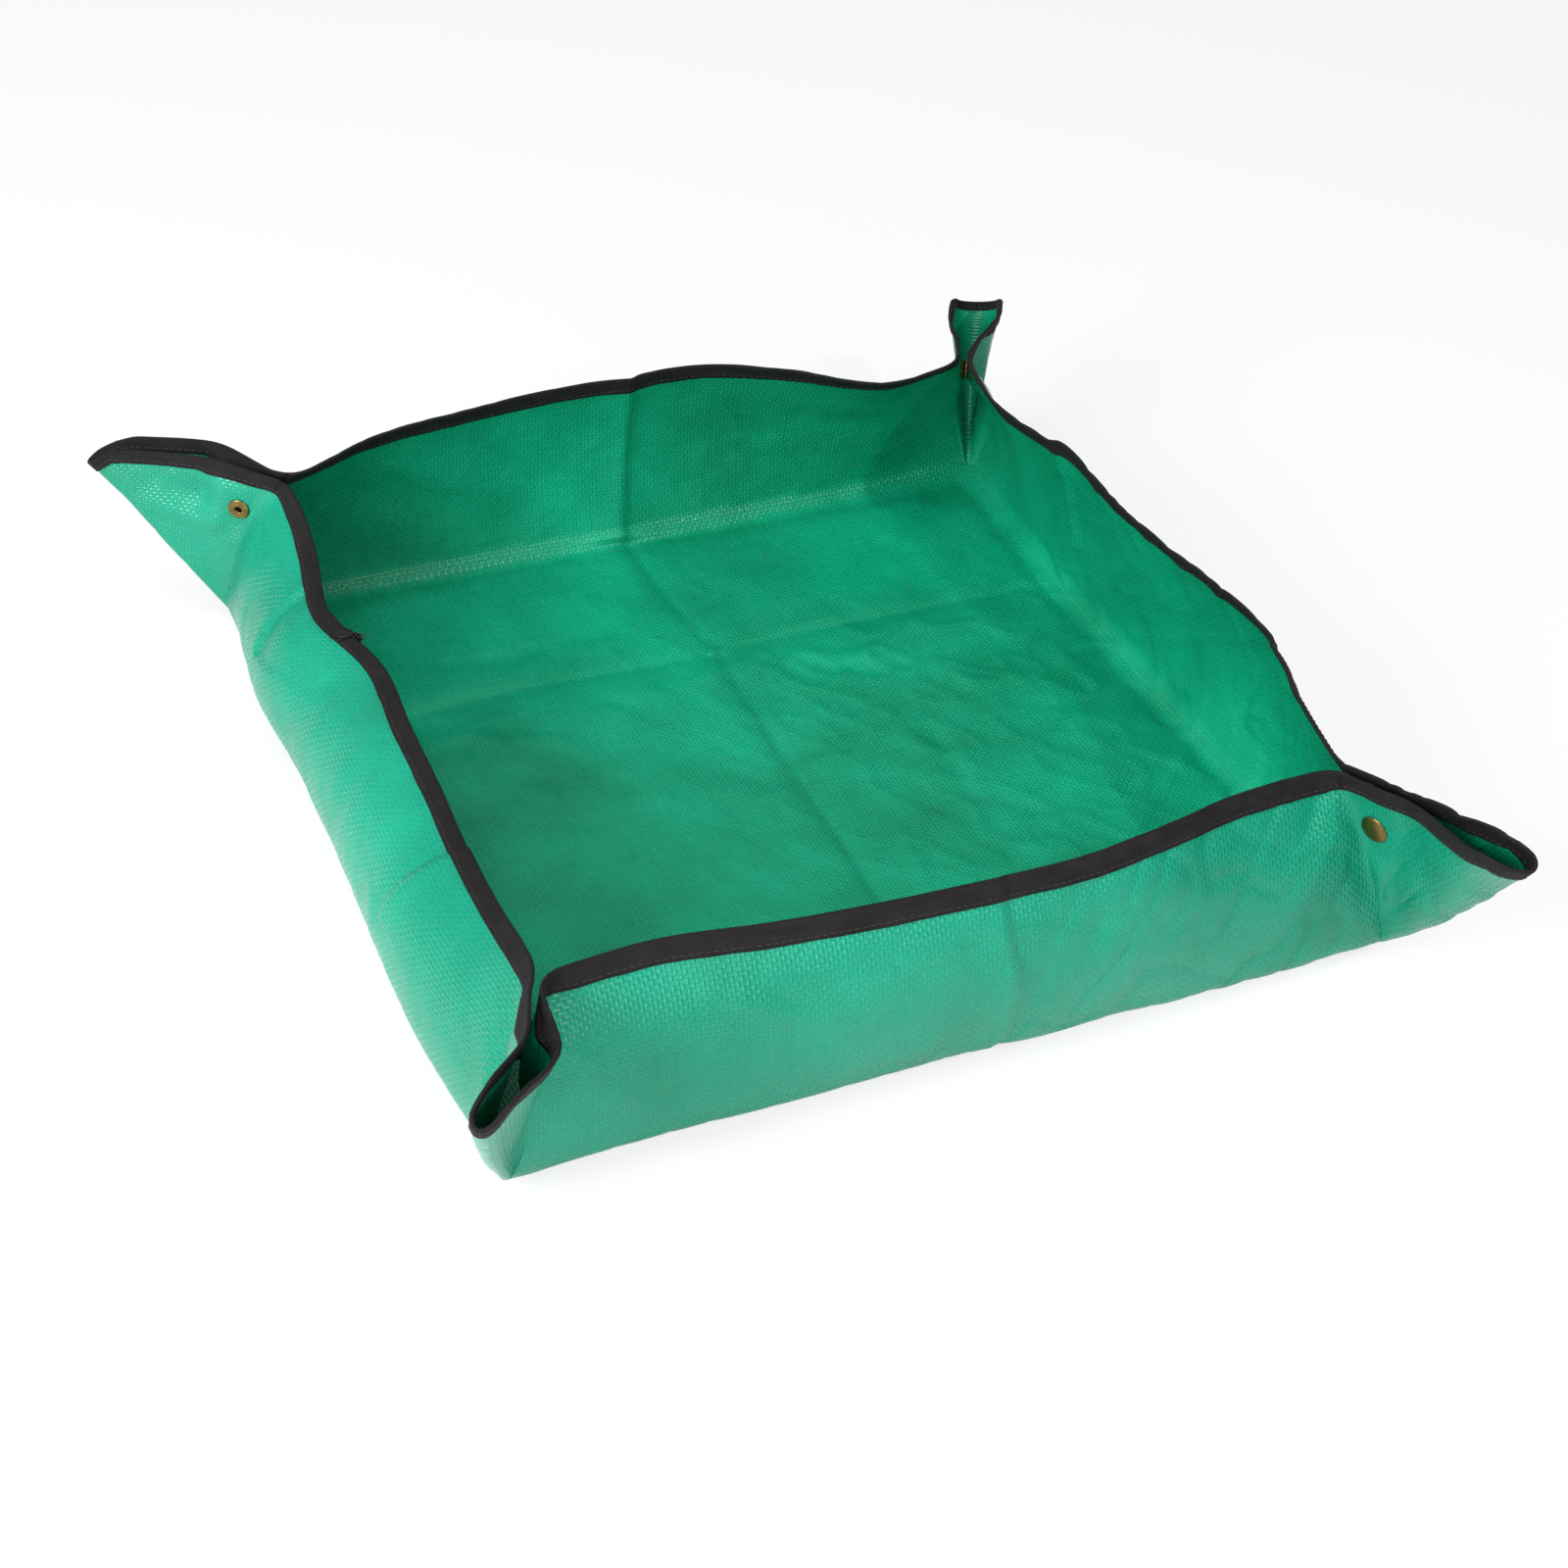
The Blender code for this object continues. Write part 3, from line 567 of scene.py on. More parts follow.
def vertexNormals(points, quads):
    a, b, c, d = (points[quads[:, i]] for i in range(4))
    across = np.cross(c - a, d - b)
    normals = np.zeros(points.shape)
    for i in range(4):
        np.add.at(normals, quads[:, i], across)
    return normals / np.maximum(np.linalg.norm(normals, axis=1, keepdims=True), 1e-12)


def softenRoots(points, quads, share):
    # every point moves towards the middle of its neighbours, and on the rim only along the rim
    pairs = np.concatenate([quads[:, [i, (i + 1) % 4]] for i in range(4)])
    pairs = np.sort(pairs[pairs[:, 0] != pairs[:, 1]], axis=1)
    pairs, uses = np.unique(pairs, axis=0, return_counts=True)
    rim = np.zeros(len(points), bool)
    rim[pairs[uses == 1].ravel()] = True
    kept = (~rim[pairs[:, 0]] & ~rim[pairs[:, 1]]) | (uses == 1)
    both = np.concatenate([pairs, pairs[:, ::-1]])
    wanted = np.concatenate([kept, kept]) | ~rim[both[:, 0]]
    both = both[wanted]
    count = np.maximum(np.bincount(both[:, 0], minlength=len(points)), 1)[:, None]
    for _ in range(softness["rounds"]):
        total = np.zeros(points.shape)
        np.add.at(total, both[:, 0], points[both[:, 1]])
        points = points + (total / count - points) * (0.5 * share)[:, None]
    return points


def wholeCloth():
    points, flats, soft, quads, owner, spans = [], [], [], [], [], {}
    for number, panel in enumerate(panels):
        grid = panelGrid(panel)
        start, wide = len(points), len(grid[0])
        spans[panel] = (start, len(grid), wide)
        for line in grid:
            for a, b in line:
                points.append(placeOn(panel, a, b))
                flats.append(cutPlace(panel, a, b))
                soft.append(rootNearness(panel, a, b))
        mine = []
        for j in range(len(grid) - 1):
            for i in range(wide - 1):
                n = start + j * wide + i
                mine.append((n, n + 1, n + wide + 1, n + wide))
        a, b, c, d = np.array(points)[np.array(mine).T]
        if Vector(np.cross(c - a, d - b).sum(0)).dot(insideOf(panel)) < 0:
            mine = [quad[::-1] for quad in mine]
        quads += mine
        owner += [number] * len(mine)
    points, flats, soft = np.array(points), np.array(flats), np.array(soft)
    # points of two panels that meet become one; the shift keeps round sizes off a rounding edge
    places = np.round(points + 1.3e-7, 6)
    _, first, index = np.unique(places, axis=0, return_index=True, return_inverse=True)
    index = index.reshape(-1)
    points, flats, soft = points[first], flats[first], soft[first]
    quads = index[np.array(quads)]
    points = softenRoots(points, quads, soft)
    normals = vertexNormals(points, quads)
    points = points + normals * wrinkleHeight(flats[:, 0], flats[:, 1])[:, None]
    points[:, 2] = np.maximum(points[:, 2], cloth["thickness"] / 2)  # nothing sinks into the table
    normals = vertexNormals(points, quads)
    every = np.concatenate([points, normals, flats], axis=1)
    surfaces = {}
    for panel, (start, tall, wide) in spans.items():
        surfaces[panel] = every[index[start:start + tall * wide]].reshape(tall, wide, 8)
    return {"points": points, "normals": normals, "flats": flats, "quads": quads,
            "owner": np.array(owner), "surfaces": surfaces}


def readSurface(panel, row, col):
    # place, normal and place on the cut sheet of the finished cloth, between its points
    values = whole["surfaces"][panel]
    i = np.clip(np.floor(row).astype(int), 0, values.shape[0] - 2)
    j = np.clip(np.floor(col).astype(int), 0, values.shape[1] - 2)
    u, v = (row - i)[..., None], (col - j)[..., None]
    low = values[i, j] * (1 - v) + values[i, j + 1] * v
    high = values[i + 1, j] * (1 - v) + values[i + 1, j + 1] * v
    return low * (1 - u) + high * u


def onWall(wall, share, high):
    share, high = np.broadcast_arrays(share, high)
    return readSurface(("wall", wall), np.interp(high, rows, range(len(rows))),
                       np.interp(share, shares, range(len(shares))))


def onEar(ear, wall, a, b):
    straight, cut, pull = flatEar(ear)["straight"], cloth["cornerCut"], flatEar(ear)["pull"]
    scale = b / height
    over = a / np.maximum(scale, 1e-9) > height - cut
    scale = np.where(over, (a + b) / (2 * height - cut), scale)
    run = np.where(over, straight + (height - b / scale) * math.sqrt(2),
                   a / np.maximum(scale, 1e-9) + pull)
    runs = earRuns(ear)
    return readSurface(("ear", ear, wall), np.interp(scale * height, rows, range(len(rows))),
                       np.interp(run, runs, range(len(runs))))


def linked(name, data):
    made = bpy.data.objects.new(name, data)
    bpy.context.scene.collection.objects.link(made)
    return made


def meshPiece(name, points, faces, materials, sides=None, uvs=None, normals=None):
    mesh = bpy.data.meshes.new(name)
    mesh.from_pydata([tuple(p) for p in points], [], faces)
    for material in materials:
        mesh.materials.append(material)
    if sides is not None:
        mesh.polygons.foreach_set("material_index", sides)
    if uvs is not None:
        layer = mesh.uv_layers.new(name="cutPlace")
        corners = np.zeros(len(mesh.loops), np.int64)
        mesh.loops.foreach_get("vertex_index", corners)
        layer.data.foreach_set("uv", np.asarray(uvs, float)[corners].reshape(-1))
    mesh.polygons.foreach_set("use_smooth", [True] * len(mesh.polygons))
    mesh.update()
    if normals is not None:
        mesh.normals_split_custom_set_from_vertices([tuple(n) for n in normals])
    return linked(name, mesh)


def pointOutwards(piece, merged=0.0):
    # the faces of a closed piece are turned outwards, once its doubles are merged
    work = bmesh.new()
    work.from_mesh(piece.data)
    if merged:
        bmesh.ops.remove_doubles(work, verts=work.verts, dist=merged)
    bmesh.ops.recalc_face_normals(work, faces=work.faces)
    work.to_mesh(piece.data)
    work.free()
    return piece


def panelName(panel):
    if panel == "floor":
        return "floorCloth"
    if panel[0] == "wall":
        return panel[1] + "WallCloth"
    return f"{panel[1]}Ear{panel[2].capitalize()}Cloth"


def clothPanel(number, materials):
    # one panel as a closed sheet: its inside face, its outside face and the edge between
    panel, flats = panels[number], whole["flats"]
    mine = whole["quads"][whole["owner"] == number]
    if panel[0] == "ear":  # the hole that the press stud is riveted through
        snapAt = np.array(cutPlace(panel, *snapPlace(panel[1])))
        mine = mine[np.linalg.norm(flats[mine].mean(1) - snapAt, axis=1) > cloth["holeReach"]]
    used, index = np.unique(mine, return_inverse=True)
    mine = index.reshape(mine.shape)
    p, n, count = whole["points"][used], whole["normals"][used], len(used)
    half = cloth["thickness"] / 2
    faces, sides, edges = [], [], {}
    for quad in mine:
        ring = [v for i, v in enumerate(quad) if v != quad[i - 1]]
        if len(ring) < 3:
            continue
        faces.append([int(v) for v in ring])
        sides.append(0)
        faces.append([int(v) + count for v in reversed(ring)])
        sides.append(1)
        for a, b in zip(ring, ring[1:] + ring[:1]):
            edges[(int(a), int(b))] = 1
    for a, b in edges:
        if (b, a) not in edges:
            faces.append([b, a, a + count, b + count])
            sides.append(1)
    solid, uvs = np.concatenate([p + n * half, p - n * half]), np.concatenate([flats[used]] * 2)
    return meshPiece(panelName(panel), solid, faces, materials, sides, uvs, np.concatenate([n, -n]))


# Shader maths: values are wired as they are written, and numbers alone stay numbers
class Value:
    def __init__(self, graph, socket):
        self.graph, self.socket = graph, socket

    def math(self, operation, *items):
        return self.graph.add("ShaderNodeMath", {"operation": operation}, dict(enumerate(items)))

    def __add__(self, other):
        return self.math("ADD", self, other)

    def __radd__(self, other):
        return self.math("ADD", other, self)

    def __sub__(self, other):
        return self.math("SUBTRACT", self, other)

    def __rsub__(self, other):
        return self.math("SUBTRACT", other, self)

    def __mul__(self, other):
        return self.math("MULTIPLY", self, other)

    def __rmul__(self, other):
        return self.math("MULTIPLY", other, self)

    def __truediv__(self, other):
        return self.math("DIVIDE", self, other)

    def __rtruediv__(self, other):
        return self.math("DIVIDE", other, self)

    def sine(self):
        return self.math("SINE", self)

    def size(self):
        return self.math("ABSOLUTE", self)

    def held(self, low=0.0, high=1.0):
        return self.math("MINIMUM", self.math("MAXIMUM", self, low), high)


class Graph:
    def __init__(self, tree):
        self.tree = tree

    def add(self, kind, settings=None, inputs=None, output=0):
        node = self.tree.nodes.new(kind)
        for name, value in (settings or {}).items():
            setattr(node, name, value)
        for name, value in (inputs or {}).items():
            if isinstance(value, Value):
                self.tree.links.new(value.socket, node.inputs[name])
            else:
                node.inputs[name].default_value = value
        return Value(self, node.outputs[output])

    def blend(self, share, a, b):
        # between two colours
        return self.add("ShaderNodeMix", {"data_type": "RGBA"}, {0: share, 6: a, 7: b}, 2)


def newMaterial(name):
    material = bpy.data.materials.new(name)
    material.use_nodes = True
    return material, Graph(material.node_tree)


def plug(graph, values):
    # a material's values or links, by the names of its shader's sockets
    shader = graph.tree.nodes["Principled BSDF"]
    for name, value in values.items():
        if isinstance(value, Value):
            graph.tree.links.new(value.socket, shader.inputs[name])
        else:
            shader.inputs[name].default_value = value


def bumped(graph, relief, strength, depth):
    return graph.add("ShaderNodeBump", {},
                     {"Strength": strength, "Distance": depth, "Height": relief})


def plainWeave(warp, weft):
    # from the angles across both yarns: their roundness, which one is on top and the weave's height
    warp, weft = warp.sine(), weft.sine()
    over = (warp * weft * 3.0 + 0.5).held()
    warp, weft = warp.size(), weft.size()
    return warp, weft, over, warp * over + weft * (1 - over)


def sheetPlace(graph):
    # a place on the cut sheet, in metres, as the panels' UV map holds it
    spot = graph.add("ShaderNodeUVMap", {"uv_map": "cutPlace"})
    x = graph.add("ShaderNodeSeparateXYZ", {}, {0: spot})
    return spot, x, Value(graph, x.socket.node.outputs[1])


def stretchedNoise(graph, spot, across, up, detail=2.0):
    # on a sheet, with this many lumps to the metre each way
    place = graph.add("ShaderNodeVectorMath", {"operation": "MULTIPLY"},
                      {0: spot, 1: (across, up, 0)})
    return graph.add("ShaderNodeTexNoise", {"noise_dimensions": "2D"},
                     {"Vector": place, "Scale": 1.0, "Detail": detail, "Roughness": 0.5})


def solidNoise(graph, scale, detail=2.0):
    place = graph.add("ShaderNodeTexCoord", {}, {}, 3)
    return graph.add("ShaderNodeTexNoise", {}, {"Vector": place, "Scale": scale, "Detail": detail})


tarp = {
    "yarn": 0.0022,
    # The inside and outside faces are one cloth: their two colour sets differ only as painted light
    # and shade, set to how each face is lit
    "inside": {"dark": (0.001, 0.150, 0.070, 1), "light": (0.002, 0.365, 0.198, 1)},
    "outside": {"dark": (0.001, 0.175, 0.098, 1), "light": (0.003, 0.305, 0.188, 1)},
    "roughness": (0.10, 0.46),
    "bump": (0.90, 0.0004),
    "specular": 0.32,
}


def tarpMaterial(name, colors):
    material, graph = newMaterial(name)
    spot, x, y = sheetPlace(graph)
    wander = (stretchedNoise(graph, spot, 60, 60) - 0.5) * 0.5
    angles = [(along / tarp["yarn"] + wander) * math.pi for along in (x, y)]
    warp, weft, over, weave = plainWeave(*angles)
    slubs = stretchedNoise(graph, spot, 440, 34) + stretchedNoise(graph, spot, 34, 440) - 1.0
    soft = stretchedNoise(graph, spot, 22, 22, 3.0)
    patches = stretchedNoise(graph, spot, 5, 5)
    # the weave term is lighter on the yarns' crowns and darker in the hollows between them: painted
    # shade; the over term is the weave's own pattern
    shade = ((patches - 0.5) + (soft - 0.5) * 0.6 + slubs * 0.20 + (weave - 0.6) * 0.30
             + (over - 0.5) * 0.10 + 0.5).held()
    low, high = tarp["roughness"]
    dull = (soft * 0.8 + slubs * 0.3 + 0.35 - warp * over * 0.9).held()
    relief = warp * over * 0.9 + weft * (1 - over) * 0.4 + slubs * 0.14 + soft * 1.5
    plug(graph, {"Base Color": graph.blend(shade, colors["dark"], colors["light"]),
                 "Roughness": dull * (high - low) + low,
                 "Specular IOR Level": tarp["specular"],
                 "Normal": bumped(graph, relief, *tarp["bump"])})
    return material


tapeLook = {
    "wallWidth": {"front": 0.0105, "right": 0.0085, "back": 0.0088, "left": 0.0088},
    "earWidth": 0.0080,
    "narrowing": 0.030,
    "thickness": 0.0006,
    "offCloth": 0.0007,
    "stitchInset": 0.0020,
    "wallStations": 151,
    "ragged": (0.03, 0.012, 31),
    "turnedPlace": (-0.0004, 0.02),
    "edgeTurns": (60, 30, 0, -30, -60),
    "yarns": (0.0011, 0.0008),
    "black": (0.0028, 0.0024, 0.0026, 1),
    "worn": (0.0125, 0.0102, 0.0106, 1),
    "bump": (0.5, 0.0003),
    "specular": 0.25,
}


def tapeMaterial():
    material, graph = newMaterial("blackTapeWeave")
    spot, x, y = sheetPlace(graph)
    angles = [along * (math.pi / yarn) for along, yarn in zip((x, y), tapeLook["yarns"])]
    weave = plainWeave(*angles)[-1]
    fuzz = stretchedNoise(graph, spot, 900, 900)
    worn = stretchedNoise(graph, spot, 60, 160, 3.0)
    # the weave term is lighter on the yarns' crowns and darker in the hollows between them: painted
    # shade; the worn and fuzz terms are the tape's own uneven tone
    shade = ((worn - 0.5) * 1.2 + (weave - 0.6) * 0.7 + (fuzz - 0.5) * 0.8 + 0.35).held()
    plug(graph, {"Base Color": graph.blend(shade, tapeLook["black"], tapeLook["worn"]),
                 "Roughness": (fuzz * 0.2 + 0.72).held(),
                 "Specular IOR Level": tapeLook["specular"],
                 "Normal": bumped(graph, weave + fuzz * 0.6, *tapeLook["bump"])})
    return material


threadLook = {"black": (0.006, 0.005, 0.005, 1), "worn": (0.030, 0.026, 0.026, 1), "twist": 1500.0}


def threadMaterial():
    material, graph = newMaterial("blackThread")
    twist = solidNoise(graph, threadLook["twist"])
    plug(graph, {"Base Color": graph.blend(twist, threadLook["black"], threadLook["worn"]),
                 "Roughness": (twist * 0.3 + 0.4).held()})
    return material


brassLook = {"bright": (0.300, 0.200, 0.060, 1), "patina": (0.115, 0.078, 0.026, 1),
             "blotch": 190.0, "grain": 2200.0, "bump": (0.12, 0.0001)}


def brassMaterial():
    material, graph = newMaterial("agedBrassTurned")
    blotch = solidNoise(graph, brassLook["blotch"], 3.0)
    grain = solidNoise(graph, brassLook["grain"])
    shade = ((blotch - 0.5) * 2.4 + (grain - 0.5) * 0.4 + 0.5).held()
    plug(graph, {"Base Color": graph.blend(shade, brassLook["bright"], brassLook["patina"]),
                 "Metallic": 1.0,
                 "Roughness": (shade * 0.16 + 0.24 + (grain - 0.5) * 0.1).held(),
                 "Normal": bumped(graph, grain + blotch, *brassLook["bump"])})
    return material


# Tape: one path round the whole rim, so that its lengths meet with no step
def tapeWidth(wall, toRoot):
    # the width changes at an ear's root: the distance is from there, negative along the wall
    share = smoothAll(toRoot / tapeLook["narrowing"] + 0.5)
    return mix(tapeLook["wallWidth"][wall], tapeLook["earWidth"], share)


def wallStrip(wall, across):
    # the finished cloth under a wall's tape: a row of places at each station along the rim
    share = np.linspace(-1, 1, tapeLook["wallStations"])
    side = np.where(share > 0, wallReach(wall, 1, height), wallReach(wall, -1, height))
    width = tapeWidth(wall, (np.abs(share) - 1) * side)
    return onWall(wall, share[:, None], height - width[:, None] * across[None, :])


def earStrip(ear, wall, across):
    runs = np.array(earRuns(ear))
    edge = np.array([earEdge(ear, run) for run in runs])
    width = tapeWidth(wall, runs)
    lean = math.atan2(flatEar(ear)["pull"], height) * np.clip(1 - runs / width, 0, 1)
    angle = math.radians(45) * smoothAll((runs - flatEar(ear)["straight"]) / width + 0.5) - lean
    inner = edge - np.stack([np.sin(angle), np.cos(angle)], -1) * (width / np.cos(lean))[:, None]
    flat = edge[:, None] + (inner - edge)[:, None] * across[None, :, None]
    # past the fold the strip is the other half's, so the halves' strips meet on the fold itself
    flat = np.where(flat[..., :1] > flat[..., 1:], flat.mean(-1, keepdims=True), flat)
    return onEar(ear, wall, flat[..., 0], flat[..., 1])


def rimStrips(across):
    strips = []
    for wall, ear in (("front", "right"), ("right", "back"), ("back", "left"), ("left", "front")):
        strips.append((("wall", wall), wallStrip(wall, across)))
        first, second = ears[ear]["walls"]
        strips.append((("ear", ear, first), earStrip(ear, first, across)))
        strips.append((("ear", ear, second), earStrip(ear, second, across)[::-1]))
    return strips


def unit(v):
    return v / np.maximum(np.linalg.norm(v, axis=-1, keepdims=True), 1e-12)


def rimFrames(strips):
    # places across the tape, inward steps and normals along the closed rim, how far along it each
    # is, and the strips' places by number, the same where two lengths meet
    every = np.concatenate([strip for _, strip in strips])
    edge = every[:, 0, :3]
    new = np.linalg.norm(edge - np.roll(edge, 1, axis=0), axis=1) > 1e-6
    single = np.flatnonzero(new)
    number = (np.cumsum(new) - 1) % len(single)
    base = every[single, :, :3]
    along = unit(np.roll(base, -1, axis=0) - np.roll(base, 1, axis=0))
    inward = unit(np.gradient(base, axis=1))
    normal = unit(np.cross(along, inward))
    onCloth = every[single, :, 3:6]
    flip = np.sign((normal * onCloth).sum(-1, keepdims=True).sum(1, keepdims=True))
    normal = unit(normal * flip + onCloth * 0.5)
    lengths = np.linalg.norm(np.diff(np.concatenate([base[:, 0], base[:1, 0]]), axis=0), axis=1)
    runs = np.concatenate([[0], np.cumsum(lengths)])[:-1]
    return base, inward, normal, runs, number


# Where the tape's points are across its width, from the cloth's edge inwards
tapeAcross = np.array([0.0, 0.16, 0.38, 0.62, 0.84, 1.0])


def tapeLoop(base, inward, normal, run, off, half):
    # one section of the folded tape: its outer face and back along its inner one, and its places
    (most, size, seed), (overEdge, behind) = tapeLook["ragged"], tapeLook["turnedPlace"]
    ragged = most * float(latticeNoise(np.array(run), np.array(0.0), size, seed))
    width = np.linalg.norm(base[-1] - base[0])
    drawn = base + inward * (ragged * width * tapeAcross)[:, None]
    outer, inner, place = [], [], []
    for distance, line in ((off + half, outer), (off - half, inner)):
        for k in reversed(range(len(tapeAcross))):
            line.append(drawn[k] + normal[k] * distance)
            place.append((run, tapeAcross[k] * width))
        for turn in np.radians(tapeLook["edgeTurns"]):
            way = normal[0] * math.sin(turn) - inward[0] * math.cos(turn)
            line.append(base[0] + way * distance)
            place.append((run, overEdge * (1 + turn / 2)))
        for k in range(len(tapeAcross)):
            line.append(drawn[k] - normal[k] * distance)
            place.append((run, tapeAcross[k] * width + behind))
    place = place[:len(outer)]
    return outer + inner[::-1], place + place[::-1]


def tapeLengths(materials):
    strips = rimStrips(tapeAcross)
    base, inward, normal, runs, number = rimFrames(strips)
    off, half = tapeLook["offCloth"], tapeLook["thickness"] / 2
    pieces, seams, start = {}, {}, 0
    for panel, strip in strips:
        pick = number[start:start + len(strip)]
        start += len(strip)
        made = [tapeLoop(base[i], inward[i], normal[i], runs[i], off, half) for i in pick]
        loops, uvs = [loop for loop, place in made], [place for loop, place in made]
        pieces[panel] = loft(panelName(panel).replace("Cloth", "Tape"), loops, uvs, materials)
        seams[panel] = seamPoints(base[pick], normal[pick], off + half)
        if panel == ("wall", "left"):
            lap = off + 2 * half + joint["gap"]
            lapPieces = tapeJoint(base, inward, normal, runs, pick, lap, half, materials)
    return pieces, seams, lapPieces


# Where the tape's two ends overlap on the left wall: from its frayed end to its start, from the
# mat's middle, how its end stands off, and the fray's threads
joint = {"end": 0.077, "start": 0.101, "gap": 0.0001, "jag": 0.0016, "stick": 0.0022,
         "lift": 0.0009, "liftRows": 4, "threads": 13, "thread": 0.00016, "threadPoints": 7,
         "threadSides": 5, "threadLength": (0.0015, 0.0045), "stray": 0.45, "curl": 0.0006,
         "seed": 9}


def tapeJoint(base, inward, normal, runs, pick, off, half, materials):
    draw = np.random.default_rng(joint["seed"])
    places = [i for i in pick if joint["end"] <= base[i, 0, 1] <= joint["start"]]
    if base[places[0], 0, 1] > base[places[-1], 0, 1]:
        places = places[::-1]
    loops, uvs = [], []
    for n, i in enumerate(places):
        toEnd = clamp(1 - n / joint["liftRows"])
        lifted = base[i] - inward[i] * (joint["stick"] * toEnd ** 2)
        loop, place = tapeLoop(lifted, inward[i], normal[i], runs[i],
                               off + joint["lift"] * toEnd, half)
        loops.append(loop)
        uvs.append(place)
    ahead = unit(base[places[0], 0] - base[places[2], 0])
    jags = draw.uniform(-0.2, 1.0, len(loops[0]) // 2)
    jags = np.concatenate([jags, jags[::-1]])
    loops[0] = [p + ahead * (jag * joint["jag"]) for p, jag in zip(loops[0], jags)]
    piece = loft("leftTapeJoint", loops, uvs, materials)
    lines = []
    for n in range(joint["threads"]):
        p = loops[0][int(draw.integers(0, len(loops[0]) // 2))]
        way = ahead + draw.normal(0, joint["stray"], 3) - inward[places[0], 0] * 0.3
        length = draw.uniform(*joint["threadLength"])
        curl = draw.normal(0, joint["curl"], 3)
        lines.append([p - ahead * 0.0006, p + way * length * 0.5 + curl, p + way * length])
    # the loose thread that comes out under the tape on the wall's outside
    root, out, down = base[places[2], -1], -normal[places[2], -1], inward[places[2], -1]
    lines.append([root + out * away + ahead * on + down * low for away, on, low in (
        (0.0008, 0, 0), (0.0022, 0.002, 0), (0.0034, 0.0055, 0.002), (0.0028, 0.0085, 0))])
    return piece, threadMesh("leftTapeFray", lines)


def threadMesh(name, lines):
    # fine round threads along lines of points
    count, around, radius = joint["threadPoints"], joint["threadSides"], joint["thread"]
    points, faces = [], []
    for line in lines:
        line = np.array(line)
        t = np.linspace(0, len(line) - 1, count)
        line = np.stack([np.interp(t, range(len(line)), line[:, i]) for i in range(3)], -1)
        start = len(points)
        for i, p in enumerate(line):
            way = unit(line[min(i + 1, count - 1)] - line[max(i - 1, 0)])
            side = unit(np.cross(way, (0.31, 0.52, 0.79)))  # any way that no thread takes
            for s in range(around):
                angle = 2 * math.pi * s / around
                spoke = side * math.cos(angle) + np.cross(way, side) * math.sin(angle)
                points.append(p + radius * spoke)
        for i in range(count - 1):
            for s in range(around):
                a, b = start + i * around + s, start + i * around + (s + 1) % around
                faces.append([a, b, b + around, a + around])
        last = start + (count - 1) * around
        faces.append([start + s for s in reversed(range(around))])
        faces.append([last + s for s in range(around)])
    return meshPiece(name, points, faces, [blackThread])


def seamPoints(base, normal, off):
    # where the seam runs on both faces of the tape, and which way is off the cloth there
    width = np.linalg.norm(base[:, -1] - base[:, 0], axis=1, keepdims=True)
    share = 1 - tapeLook["stitchInset"] / width
    before, last = tapeAcross[-2:]
    line = mix(base[:, -2], base[:, -1], (share - before) / (last - before))
    return [(line + way * off, way) for way in (normal[:, -2], -normal[:, -2])]


def loft(name, loops, uvs, materials):
    wide = len(loops[0])
    points = [p for loop in loops for p in loop]
    faces = []
    for i in range(len(loops) - 1):
        for k in range(wide):
            a, b = i * wide + k, i * wide + (k + 1) % wide
            faces.append([a, b, b + wide, a + wide])
    for base in (0, (len(loops) - 1) * wide):
        for k in range(wide // 2 - 1):
            ring = [base + k, base + k + 1, base + wide - 2 - k, base + wide - 1 - k]
            faces.append(ring if base else ring[::-1])
    places = [uv for line in uvs for uv in line]
    return pointOutwards(meshPiece(name, points, faces, materials, None, places))


# The seam: stitches of thick thread along the tape's inner edge, on both of its faces
seam = {"pitch": 0.0038, "seed": 5}
stitch = {"Stitch Length": 0.0027, "Thread Width": 0.00042, "Stitch Rise": 0.00022,
          "Wander": math.radians(5)}


